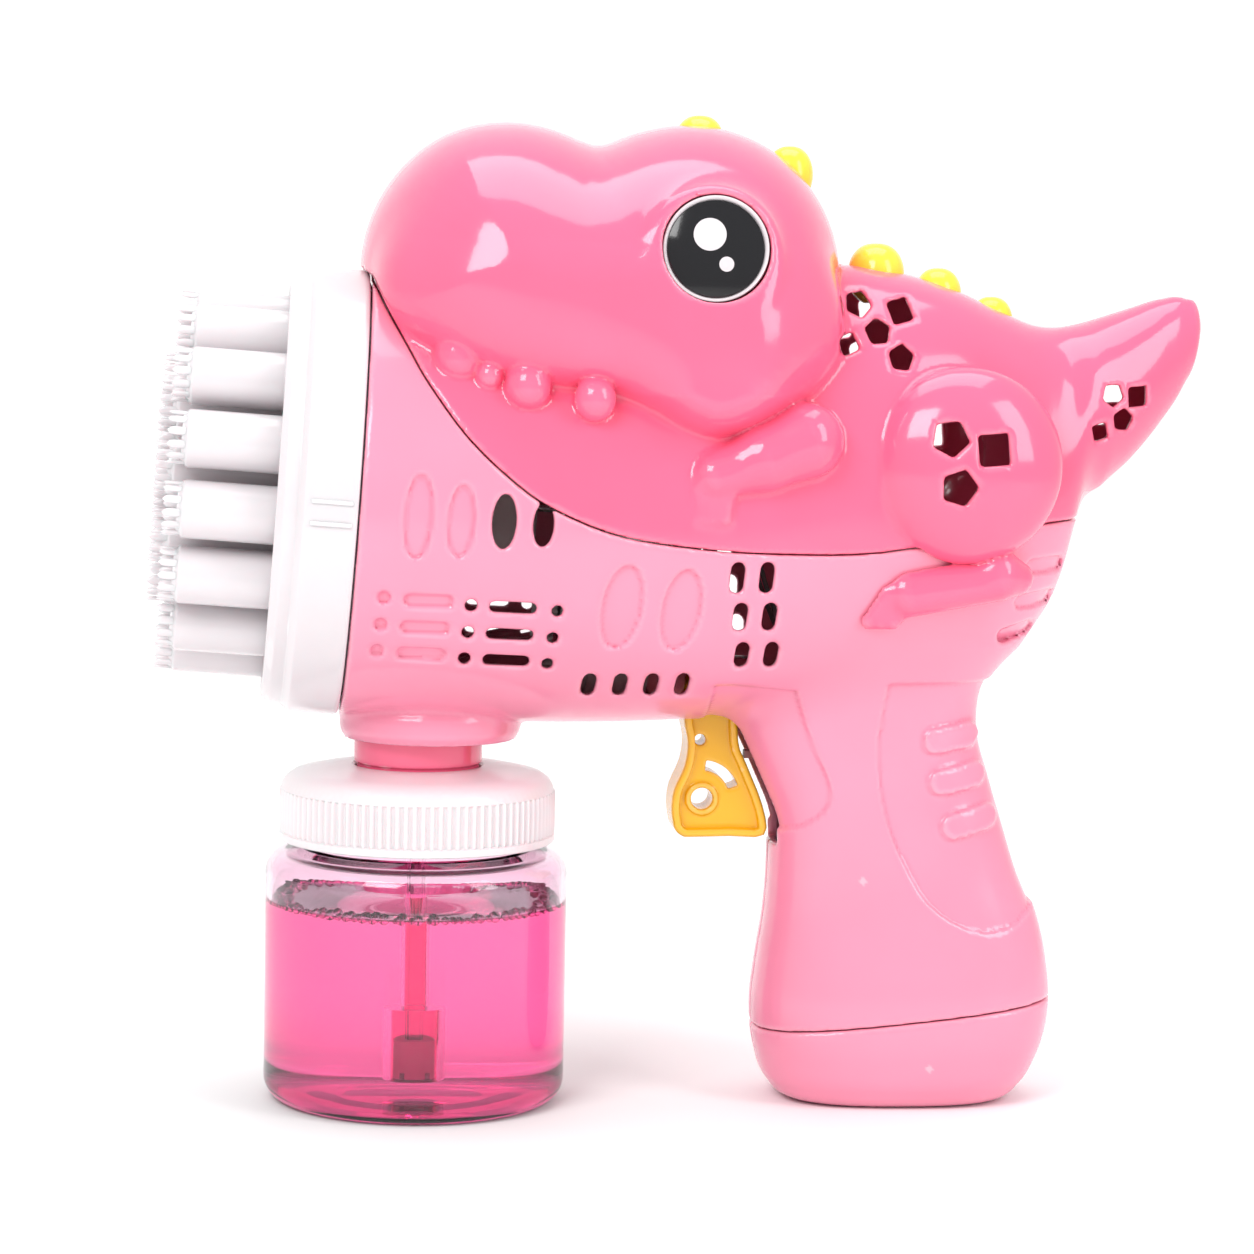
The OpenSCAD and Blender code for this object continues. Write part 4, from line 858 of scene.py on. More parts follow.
@dataclass
class Housing:
    """Light pink housing: barrel, grip, base cap and battery door."""

    forms: Forms
    cell: float
    base_front: Point2 = (72.0, 15.8)
    base_tilt: float = math.atan(7 / 64)
    groove: float = 0.1
    door: tuple[float, float, float, float] = (80.0, 122.5, 7.0, 66.5)
    case_holes: list[Point2] = field(default_factory=lambda: [
        (52.4, UNDER_Z + 7), (95, UNDER_Z + 16.5), (124.5, UNDER_Z + 23), (112, UNDER_Z - 4.5), (129, 31)])

    def through_marks(self, x: np.ndarray, z: np.ndarray) -> np.ndarray:
        """Distance in the side view to the openings of the wall.

        Args:
            x: places along X.
            z: places along Z.

        Returns:
            The field, negative inside.
        """
        a = AXIS_Z
        marks = [oval(x, z, (14.5, a - 2.4), 4.8, 11, 3), oval(x, z, (22.4, a - 3.0), 4.1, 8.8, 3)]
        for row in range(3):
            drop, lean = 5.7 * row, 0.4 * row
            marks += [stadium(x, z, (8.3 - lean, a - 19.5 - drop), 2.5, 2.5),
                      stadium(x, z, (16.8 - lean, a - 19.9 - drop), 9.6, 2.2, 2.5),
                      stadium(x, z, (25.8 - lean * 1.6, a - 20.6 - drop), 2.3, 2.3)]
            for col in range(2):
                marks.append(stadium(x, z, (62.6 + 6.2 * col + 1.1 * row, a - 13.8 - 8.2 * row),
                                     2.9, 6.4 - 0.5 * row, 4))
        marks += [stadium(x, z, (33.5 + 6.5 * i, a - 36.8), 2.8, 5.0, 5) for i in range(4)]
        return np.minimum.reduce(marks)

    def shallow_marks(self, x: np.ndarray, z: np.ndarray) -> np.ndarray:
        """Distance in the side view to the blind recesses of the wall.

        Args:
            x: places along X.
            z: places along Z.

        Returns:
            The field, negative inside.
        """
        a = AXIS_Z
        marks = [oval(x, z, (-2.6, a - 1.5), 5.6, 17, 4), oval(x, z, (5.9, a - 2.4), 5.4, 14.6, 4),
                 oval(x, z, (39.0, a - 19.8), 8.2, 17.4, 8), oval(x, z, (51.3, a - 20.5), 8.0, 17.0, 8)]
        for row in range(3):
            drop, lean = 5.7 * row, 0.5 * row
            marks += [stadium(x, z, (-9.2 - lean, a - 18 - drop), 2.6, 2.6),
                      stadium(x, z, (-0.2 - lean, a - 18.6 - drop), 10, 2.5, 2)]
        return np.minimum.reduce(marks)

    def grip_marks(self, x: np.ndarray, z: np.ndarray) -> tuple[np.ndarray, np.ndarray, np.ndarray]:
        """Distances in the side view to the grip's palm panel, its finger recess and its ribs.

        Args:
            x: places along X.
            z: places along Z.

        Returns:
            The three fields, negative inside.
        """
        panel = curve_through([(97.2, 91.5), (95.9, 75.4), (99.5, 58.5), (107.3, 44.7), (117.3, 38.8),
                               (125.4, 39.1), (131.1, 42.8), (140, 50)], 4) + [(150.0, 60.0), (130.0, 95.0)]
        front = curve_through([(77.5, 90.0), (81.5, 79.0), (85.4, 70.5), (85.6, 65.0), (80.5, 60.4),
                               (73.0, 58.6)], 4) + [(60.0, 62.0), (60.0, 92.0)]
        ribs = np.minimum.reduce([stadium(x, z, at, w, 5.2, tilt) for at, w, tilt in (
            ((112.0, 79.6), 13.0, -8), ((113.6, 71.0), 13.0, -11), ((116.4, 61.8), 13.0, -14))])
        return outline_distance(x, z, panel), outline_distance(x, z, front), ribs

    def rear_marks(self, x: np.ndarray, z: np.ndarray) -> np.ndarray:
        """Distance in the side view to the three shallow bars at the rear end."""
        places = [((129.6, 116.9), 9.0, -4), ((128.3, 109.5), 10.0, -8), ((124.8, 102.4), 9.0, -16)]
        return np.minimum.reduce([stadium(x, z, at, w, 3.2, tilt) for at, w, tilt in places])

    def base(self, g: Sequence[np.ndarray]) -> np.ndarray:
        """Distance above the plane that parts the base cap from the grip."""
        c, s = math.cos(self.base_tilt), math.sin(self.base_tilt)
        return (g[2] - self.base_front[1]) * c - (g[0] - self.base_front[0]) * s

    def build(self) -> list[bpy.types.Object]:
        """Makes both halves, the base cap and the battery door.

        Returns:
            The new pieces.
        """
        grid = Grid((-18.0, -BARREL_R - 1.2, -0.6), (140.5, 0.9, 175.5), self.cell)
        g = grid.axes()
        x2, z2 = g[0][:, 0], g[2][0]
        barrel = self.forms.barrel(g, self.cell)
        body = merge(merge(barrel, self.forms.grip(g, self.cell), 5.0), self.forms.collar(g), 1.6)
        body = common(body, np.broadcast_to(-g[2], body.shape), 1.0)
        panel, front, ribs = (m[:, None, :] for m in self.grip_marks(x2, z2))
        on_grip = np.maximum(g[2] - UNDER_Z - 9, -60)
        body = common(body, -np.maximum(np.maximum(panel, -(body + 0.75)), on_grip), 0.6)
        body = common(body, -np.maximum(np.maximum(front, -(body + 0.7)), on_grip), 0.6)
        body = merge(body, np.maximum(ribs, body - 1.1), 0.7)
        inner = -(merge(barrel, self.forms.grip(g, self.cell), 5.0) + WALL)
        shell = common(body, inner, 0.5)
        marks = self.through_marks(x2, z2)[:, None, :]
        shell = common(shell, -np.maximum(self.shallow_marks(x2, z2)[:, None, :], -(barrel + 1.0)), 0.8)
        shell = common(shell, -np.maximum(self.rear_marks(x2, z2)[:, None, :], -(barrel + 1.0)), 0.8)
        shell = common(shell, -np.maximum(marks, g[1] + 10), 0.9)
        low = np.maximum(g[2] - (UNDER_Z + 10), (UNDER_Z - 27) - g[2])
        slot = np.maximum(np.maximum(np.abs(g[1]) - 6.9, np.abs(g[0] - 72.5) - 20), low)
        shell = common(shell, -slot, 0.6)
        neck = np.maximum(np.hypot(g[0], g[1]) - 14.1, g[2] - UNDER_Z - 9)
        shell = common(shell, -neck, 0.5)
        shell = common(shell, 0.12 - self.forms.seam(g), 0.5)
        shell = common(shell, np.broadcast_to(self.forms.mouth(g), shell.shape), 0.7)
        base = self.base(g)
        case = common(shell, self.groove - base, 0.7)
        made = []
        left = common(case, np.broadcast_to(g[1] + PARTING, case.shape), 0.3)
        made.append(settle(surface("housing_left_shell", left, grid), LIGHT_PINK, "body",
                           ["housing_left"]))
        x0, x1, z0, z1 = self.door
        door = np.maximum(np.maximum(np.abs(g[0] - (x0 + x1) / 2) - (x1 - x0) / 2,
                                     np.abs(g[2] - (z0 + z1) / 2) - (z1 - z0) / 2), g[1] + 7.0)
        right = Wells(self.case_holes).apply(case, body, g)
        right = common(right, -(door - 0.3), 0.5)
        right = common(right, np.broadcast_to(g[1] + PARTING, right.shape), 0.3)
        made.append(settle(surface("housing_right_shell", right, grid, True), LIGHT_PINK,
                           "body", ["housing_right"]))
        made += self.lower(grid, g, shell, body, door, base)
        return made

    def lower(self, grid: Grid, g: Sequence[np.ndarray], shell: np.ndarray, body: np.ndarray,
              door: np.ndarray, base: np.ndarray) -> list[bpy.types.Object]:
        """Makes the base cap, as two mirrored skins of one piece, and the battery door.

        Args:
            grid: the lattice.
            g: places of the lattice along each axis.
            shell: field of the hollow shell.
            body: field of the solid form.
            door: field of the door's opening.
            base: distance above the base cap's parting plane.

        Returns:
            The new pieces.
        """
        top = int((30 - grid.low[2]) / grid.cell)
        floor = np.maximum(body, g[2] - 2.4)
        cap = common(np.minimum(shell, floor), self.groove + base, 0.7)[:, :, :top]
        cap = np.minimum(cap, 30)
        cap_grid = Grid(grid.low, (grid.high[0], grid.high[1], grid.low[2] + top * grid.cell), grid.cell)
        cut = np.broadcast_to(g[1][:, :, :] - 0.02, cap.shape)
        one = surface("base_cap_shell", np.maximum(cap, cut), cap_grid)
        two = surface("base_cap_far", np.maximum(common(cap, -(door[:, :, :top] - 0.3), 0.5), cut),
                      cap_grid, True)
        both = settle(joined("base_cap_shell", [one, two]), LIGHT_PINK, "body", ["base_cap"])
        lid = common(common(body, -(body + 2.0), 0.4), np.broadcast_to(door, body.shape), 0.7)
        lid = np.maximum(lid, -(np.hypot(g[0] - 100, g[2] - 62.5) - 1.7))
        lid = common(lid, -np.maximum(np.hypot(g[0] - 100, g[2] - 62.5) - 3.1, g[1] + 15.8), 0.4)
        for i in range(4):
            bar = stadium(g[0][:, 0], g[2][0], (101.2, 14 + 3.4 * i), 20 - 2 * i, 1.4)
            lid = common(lid, -np.maximum(bar[:, None, :], -(body + 0.6)), 0.5)
        made = settle(surface("battery_door_panel", lid, grid, True), LIGHT_PINK, "door",
                      ["battery_door"])
        return [both, made]


@dataclass
class Dinosaur:
    """Hot pink dinosaur shell in two halves."""

    forms: Forms
    cell: float
    head_top: float = 77.8
    head_w: float = 43.0
    eye: Point3 = (56.1, -40.8, 52.4)
    eye_r: float = 10.9
    holes: list[Point2] = field(default_factory=lambda: [(12, 66), (70, 62), (125, 34), (151, 30.5)])
    jaw: list[Point2] = field(default_factory=lambda: [
        (-9.5, 178), (-4.5, 191), (5, 200.5), (18, 202), (31, 199), (44, 202), (58, 202), (70, 197),
        (78, 187.5), (81.6, 176), (80, 162), (74.5, 149.5), (66, 142.4), (57, 140.2), (49.5, 142.2),
        (43, 146.2), (36.5, 148.6), (27, 149.6), (17, 151.2), (8, 154.6), (-1, 159.6), (-8, 167)])

    def head(self, g: Sequence[np.ndarray], cell: float) -> np.ndarray:
        """Snout, brow and jaw.

        Args:
            g: places of the lattice along each axis.
            cell: pitch of the lattice.

        Returns:
            The field, negative inside.
        """
        t, w = AXIS_Z + self.head_top, self.head_w
        snout = ellipsoid(g, (17.5, 0, t - 31), (30.5, w, 31))
        brow = ellipsoid(g, (55.8, 0, t - 31.4), (31, w, 31.6))
        muzzle = ellipsoid(g, (18, -(w - 19), t - 34), (27, 19, 17))
        temple = ellipsoid(g, (60, -(w - 18), t - 41.6), (25, 18.5, 20))
        bulk = merge(merge(snout, muzzle, 6), merge(brow, temple, 6), 3.5)
        side = outline_distance(g[0][:, 0], g[2][0], curve_through(self.jaw, 3, True))
        reach = 11 + 21 * np.clip((g[2][0] - 152) / 30, 0, 1)
        s = np.maximum(1 + side / reach, 0)[:, None, :]
        pillow = (s**2.3 + (np.abs(g[1]) / 46.2) ** 2.3) ** (1 / 2.3) - 1
        pillow = true_distance(pillow * 14, cell)
        return merge(bulk, pillow, 7)

    def limbs(self, g: Sequence[np.ndarray]) -> np.ndarray:
        """Thigh, arm with its hand, foot with its toes.

        Args:
            g: places of the lattice along each axis.

        Returns:
            The field, negative inside.
        """
        a = AXIS_Z
        arm, foot = -(BARREL_R - 10.6), -(BARREL_R - 17.4)
        thigh = ellipsoid(g, (110.4, -(BARREL_R - 17.5), a + 9.1), (20.2, 11.5, 20.4))
        upper = capsule(g, (76, arm, a + 14.2), (68, arm - 1.2, a + 11), 7.8, 6.6)
        fore = capsule(g, (67.5, arm - 1.2, a + 10.4), (57.5, arm - 2, a + 7), 5.8, 5.0)
        hand = merge(upper, fore, 2.5)
        for f in (-1, 0, 1):
            tip = (56.9 + 2.4 * f, arm - 3, a - 1.4)
            finger = capsule(g, (57 + 2.5 * f, arm - 2.8, a + 5), tip, 2.5, 1.7)
            hand = merge(hand, finger, 1.0)
        sole = capsule(g, (117.5, foot, a - 14.4), (99, foot, a - 17), 4.4, 5.3)
        shin = capsule(g, (118, foot, a - 12), (122, foot + 2, a - 14), 4.2, 3.6)
        sole = merge(sole, shin, 3)
        for t in (-1, 0, 1):
            toe = capsule(g, (96.5 + t * 1.7, foot + 0.5 * t, a - 17.3),
                          (93.4 + t * 2.4, foot - 0.5, a - 22.8), 3.3, 2.0)
            sole = merge(sole, toe, 1.0)
        return np.minimum(np.minimum(thigh, hand), sole)

    def teeth(self, g: Sequence[np.ndarray], body: np.ndarray) -> np.ndarray:
        """Adds the rounded teeth that hang under the jaw.

        Args:
            g: places of the lattice along each axis.
            body: field of the solid form.

        Returns:
            The field, negative inside.
        """
        for x, z, r in ((5.6, 30.0, 4.9), (19.2, 24.6, 4.6), (32.6, 22.2, 4.2), (11.5, 26.4, 2.6)):
            y = -math.sqrt((BARREL_R - 0.4) ** 2 - z * z)
            body = merge(body, ellipsoid(g, (x, y, AXIS_Z + z), (r, r, r * 1.08)), 0.9)
        return body

    def vents(self, x: np.ndarray, z: np.ndarray) -> np.ndarray:
        """Distance in the side view to the many-sided openings.

        Args:
            x: places along X.
            z: places along Z.

        Returns:
            The field, negative inside.
        """
        a = AXIS_Z
        back = [(88.7, 41.8, 8), (97.5, 40.5, 30), (92.2, 36.2, 50), (85.7, 33.6, 20), (96.8, 31.0, 60)]
        groups = ((back, 2.7),
                  ([(105.4, 15.2, 10), (114.3, 13.0, 40), (107.4, 5.2, 70)], 3.7),
                  ([(144.0, 23.7, 15), (149.8, 23.4, 40), (146.6, 18.5, 60), (141.2, 16.0, 30)], 2.4))
        marks = []
        for places, r in groups:
            for i, (px, pz, turn) in enumerate(places):
                size = r * (0.8 if i == 3 and r < 3 else 1)
                marks.append(pebble(x, z, (px, a + pz), size, turn, 5 - i % 2))
        return np.minimum.reduce(marks)

    def build(self) -> list[bpy.types.Object]:
        """Makes both halves.

        Returns:
            The new pieces.
        """
        grid = Grid((-17.0, -BARREL_R - 2.0, 101.0), (168.0, 0.9, 207.6), self.cell)
        g = grid.axes()
        barrel = self.forms.barrel(g, self.cell)
        head, limbs = self.head(g, self.cell), self.limbs(g)
        body = self.teeth(g, merge(barrel, head, 1.6))
        axis = Vector((0, -math.sin(math.radians(84)), math.cos(math.radians(84))))
        centre = (self.eye[0], self.eye[1], AXIS_Z + self.eye[2])
        out = sum((g[i] - centre[i]) * axis[i] for i in range(3))
        across = np.sqrt(np.maximum(sum((g[i] - centre[i] - out * axis[i]) ** 2 for i in range(3)), 0))
        pad = common(np.maximum(across - self.eye_r - 1.3, -20), np.maximum(out - 1.0, -out - 9), 2.0)
        body = merge(body, pad, 5.0)
        whole = merge(body, limbs, 1.2)
        shell = common(whole, -(np.minimum(body, limbs) + WALL), 0.5)
        shell = common(shell, np.broadcast_to(self.forms.seam(g) + 0.12, shell.shape), 0.6)
        apart = common(common(limbs, -(barrel - 0.3), 0.6), -(limbs + WALL), 0.4)
        shell = np.minimum(shell, apart)
        seat = np.maximum(across - self.eye_r - 0.15, -(out + 1.2))
        shell = common(shell, -seat, 0.35)
        shell = common(shell, -np.maximum(self.vents(g[0][:, 0], g[2][0])[:, None, :], g[1] + 8), 0.9)
        rise = (g[2] - AXIS_Z) * math.cos(PITCH) + (g[0] - SEAM_X) * math.sin(PITCH)
        near = BARREL_R + 1.1 - np.hypot(g[1], rise)
        shell = common(shell, np.minimum(self.forms.mouth(g), near), 0.4)
        left = common(shell, np.broadcast_to(g[1] + PARTING, shell.shape), 0.3)
        made = [settle(surface("dino_left_shell", left, grid), HOT_PINK, "body", ["dino_left"])]
        wells = Wells([(x, AXIS_Z + z) for x, z in self.holes])
        right = common(wells.apply(shell, whole, g), np.broadcast_to(g[1] + PARTING, shell.shape), 0.3)
        made.append(settle(surface("dino_right_shell", right, grid, True), HOT_PINK, "body",
                           ["dino_right"]))
        return made


@dataclass
class Face:
    """Eyes and the yellow spikes."""

    eye: Point3 = (56.1, -40.8, 52.4)
    eye_r: float = 10.9
    pupil_r: float = 9.7
    glints: tuple[tuple[float, float, float], ...] = ((-1.3, 2.8, 3.3), (2.1, -3.1, 1.5))
    head_spikes: tuple[tuple[float, ...], ...] = ((57.2, 77.6, 5.2, 4.6), (76.4, 71.4, 5, 5))
    back_spikes: tuple[tuple[float, ...], ...] = ((95.4, 51.2, 6, 5.4), (108.8, 46.6, 5, 4.8),
                                                  (120.4, 41, 4.6, 4.4))

    def eye_matrix(self, side: int) -> Matrix:
        """Place of an eye, with Z facing out of the head.

        Args:
            side: -1 for the left, 1 for the right.

        Returns:
            The matrix, in millimetres.
        """
        tilt = Matrix.Rotation(math.radians(-2), 4, "Z") @ Matrix.Rotation(math.radians(84), 4, "X")
        place = Matrix.Translation((self.eye[0], self.eye[1], AXIS_Z + self.eye[2])) @ tilt
        return place if side < 0 else Matrix.Scale(-1, 4, (0, 1, 0)) @ place

    def dome(self, r: float) -> float:
        """Height of the black dome at a radius."""
        return 2.45 - 1.25 * (r / self.pupil_r) ** 2

    def eye_pieces(self, side: int) -> list[bpy.types.Object]:
        """Makes the white rim, the black dome and the two glints of one eye.

        Args:
            side: -1 for the left, 1 for the right.

        Returns:
            The new pieces.
        """
        word = "left" if side < 0 else "right"
        r, p = self.eye_r, self.pupil_r
        rim = lathe(f"eye_rim_{word}", rounded([(0.01, -1.1), (r, -1.1), (r - 0.25, 2.1), (p + 0.25, 1.7),
                                                (p + 0.1, 0.6), (0.01, 0.6)], 0.5), 96, False)
        turns = np.linspace(0.0, math.pi / 2 - 0.001, 16)
        crown = [(p * math.cos(a), self.dome(p * math.cos(a))) for a in turns]
        dome = lathe(f"eye_dome_{word}", [(0.001, 0.65), (p, 0.65), *crown], 96, False)
        place = self.eye_matrix(side)
        made = [settle(moved(rim, place), EYE_WHITE, "body", [f"eye_{word}"]),
                settle(moved(dome, place), BLACK, "body", [f"pupil_{word}"])]
        discs = []
        for i, (u, v, size) in enumerate(self.glints):
            rings = [(size * k / 6, 0) for k in range(6, 0, -1)] + [(0.001, 0)]
            disc = lathe(f"glint_{word}_{i}", rings, 40, False)
            for point in disc.data.vertices:
                x, y = point.co.x / MM + u, point.co.y / MM + v
                point.co = Vector((x, y, self.dome(math.hypot(x, y)) + 0.05)) * MM
            discs.append(moved(disc, place))
        made.append(settle(joined(f"eye_glints_{word}", discs), EYE_WHITE, "body"))
        return made

    def spikes(self, name: str, rows: Sequence[Sequence[float]], node: str) -> bpy.types.Object:
        """Makes one row of rounded spikes.

        Args:
            name: name of the object.
            rows: (x, z, radius, height) of each spike, z from the axis.
            node: the CAD node that it stands for.

        Returns:
            The row of spikes.
        """
        parts = []
        for k, (x, z, r, h) in enumerate(rows):
            profile = [(r * math.cos(a) ** 0.9, 1.2 * h * math.sin(a) * (1 + 0.05 * math.cos(a)))
                       for a in np.linspace(-1.2, math.pi / 2 - 0.001, 22)]
            part = lathe(f"{name}_{k}", [(0.001, profile[0][1]), *profile], 48, False)
            place = Matrix.Translation((x, 0, AXIS_Z + z - h * 0.6)) @ Matrix.Scale(1.15, 4, (0, 1, 0))
            parts.append(moved(part, place))
        return settle(joined(name, parts), SPIKE, "body", [node])

    def build(self) -> list[bpy.types.Object]:
        """Makes both eyes and both rows of spikes.

        Returns:
            The new pieces.
        """
        made = [*self.eye_pieces(-1), *self.eye_pieces(1)]
        made.append(self.spikes("head_spike_row", self.head_spikes, "head_spikes"))
        made.append(self.spikes("back_spike_row", self.back_spikes, "back_spikes"))
        return made


# ---------------------------------------------------------------- nozzle


@dataclass
class Nozzle:
    """White front ring and the head with its crowned tubes, in the barrel's own frame."""

    length: float = 16.6
    bore: float = 41.6
    plate_z: float = 8.0
    tube_r: float = 5.9
    tube_wall: float = 1.2
    petal_len: float = 3.9
    circles: tuple[tuple[float, int, float], ...] = ((34.2, 15, 35.2), (20.8, 9, 37.7), (8.7, 4, 37.7))
    petals: int = 12

    def tube(self, name: str, reach: float) -> bpy.types.Object:
        """One tube with a rolled shoulder and a crown of rounded fingers.

        Args:
            name: name of the object.
            reach: height of the tube's mouth.

        Returns:
            The new object.
        """
        r, inner = self.tube_r, self.tube_r - self.tube_wall
        wall = lathe(name, rounded([(inner, self.plate_z + 1.5), (r, self.plate_z + 1.5), (r, reach - 0.2),
                                    (r - 0.75, reach + 0.5), (r - 0.85, reach + 1.0), (inner, reach + 1.0)],
                                   0.35), 48)
        parts = [wall]
        wide = 2 * math.pi * (r - 0.85) / self.petals * 0.66
        for i in range(self.petals):
            finger = self.finger(f"{name}_{i}", wide, self.tube_wall * 0.62, self.petal_len)
            turn = Matrix.Rotation(2 * math.pi * i / self.petals, 4, "Z")
            parts.append(moved(finger, turn @ Matrix.Translation((r - 0.86, 0, reach))))
        return joined(name, parts)

    def finger(self, name: str, wide: float, thick: float, tall: float) -> bpy.types.Object:
        """One finger of a crown, rounded at its tip and slightly curled outward.

        Args:
            name: name of the object.
            wide: width of the finger.
            thick: thickness of the finger.
            tall: height of the finger.

        Returns:
            The new object.
        """
        rings, steps = [], 10
        for k in range(6):
            t = k / 5
            z = tall * (0.6 * t + 0.4 * math.sin(t * math.pi / 2) if k else 0.0)
            fade = math.sqrt(max(1 - max(t - 0.45, 0) ** 2 / 0.31, 0.02))
            for j in range(steps):
                a = 2 * math.pi * j / steps
                rings.append((thick / 2 * fade * math.cos(a) * (1.25 - 0.25 * t) + 0.22 * t * t,
                              wide / 2 * fade * math.sin(a), z))
        faces = [(k * steps + j, k * steps + (j + 1) % steps, (k + 1) * steps + (j + 1) % steps,
                  (k + 1) * steps + j) for k in range(5) for j in range(steps)]
        faces += [tuple(reversed(range(steps))), tuple(range(5 * steps, 6 * steps))]
        return soften(mesh_object(name, np.array(rings), faces), 60)

    def head(self) -> bpy.types.Object:
        """Plate with a rim and openings, and every tube on it.

        Returns:
            The new object.
        """
        top = self.plate_z + 2.2
        edge = self.bore + 1
        cell = 0.5
        grid = Grid((-edge, -edge, self.plate_z - 1), (edge, edge, 15), cell)
        g = grid.axes()
        r = np.hypot(g[0], g[1])
        disc = np.maximum(np.abs(g[2] - (top + self.plate_z) / 2) - 1.1, r - self.bore + 0.1)
        rim = np.maximum(np.maximum(r - self.bore + 0.1, self.bore - 1.5 - r),
                         np.maximum(g[2] - self.length + 3, self.plate_z - g[2]))
        f = merge(disc, rim, 0.8)
        for circle, count, _ in self.circles:
            for i in range(count):
                a = 2 * math.pi * i / count
                away = np.hypot(g[0] - circle * math.cos(a), g[1] - circle * math.sin(a))
                f = np.maximum(f, self.tube_r - 1.0 - away)
        parts = [surface("nozzle_plate", f, grid)]
        for circle, count, reach in self.circles:
            for i in range(count):
                tube = self.tube(f"tube_{count}_{i}", reach)
                turn = Matrix.Rotation(2 * math.pi * i / count, 4, "Z")
                parts.append(moved(tube, turn @ Matrix.Translation((circle, 0, 0))))
        return moved(joined("nozzle_crowns", parts), barrel_matrix())

    def ring(self) -> bpy.types.Object:
        """Front ring with its stepped lip and side ribs.

        Returns:
            The new object.
        """
        b, n = BARREL_R, self.length
        profile = rounded([(self.bore, -4), (b - 3.6, -4), (b - 3.6, 0.35), (b + 0.1, 0.35), (b + 0.5, 1.2),
                           (b + 0.5, n - 5.6), (b - 0.5, n - 4.6), (b - 1.0, n - 4.2), (b - 1.1, n - 1.6),
                           (b - 2.3, n), (self.bore + 0.5, n), (self.bore, n - 0.7)], 0.45)
        parts = [lathe("front_ring_shell", profile, 168)]
        for side in (-1, 1):
            for x in (-3.6, 0.8):
                rib = bmesh.new()
                bmesh.ops.create_cube(rib, size=1.0, matrix=Matrix.Translation(
                    (x * MM, side * (b + 0.42) * MM, 5.6 * MM)) @ Matrix.Diagonal(
                    (0.9 * MM, 1.1 * MM, 8.4 * MM, 1)))
                mesh = bpy.data.meshes.new("rib")
                rib.to_mesh(mesh)
                rib.free()
                obj = bpy.data.objects.new(f"ring_rib_{side}_{x}", mesh)
                bpy.context.scene.collection.objects.link(obj)
                parts.append(bevel(obj, 0.3))
        return moved(joined("front_ring_shell", parts), barrel_matrix())

    def build(self) -> list[bpy.types.Object]:
        """Makes the ring and the head."""
        return [settle(self.ring(), WHITE, "body", ["front_ring"]),
                settle(self.head(), WHITE, "body", ["nozzle_head"])]


# ---------------------------------------------------------------- bottle, cap and neck


def arc(cx: float, cy: float, r: float, a0: float, a1: float, n: int = 8) -> list[Point2]:
    """Points of an arc between two angles in degrees."""
    return [(cx + r * math.cos(math.radians(a0 + (a1 - a0) * i / n)),
             cy + r * math.sin(math.radians(a0 + (a1 - a0) * i / n))) for i in range(n + 1)]


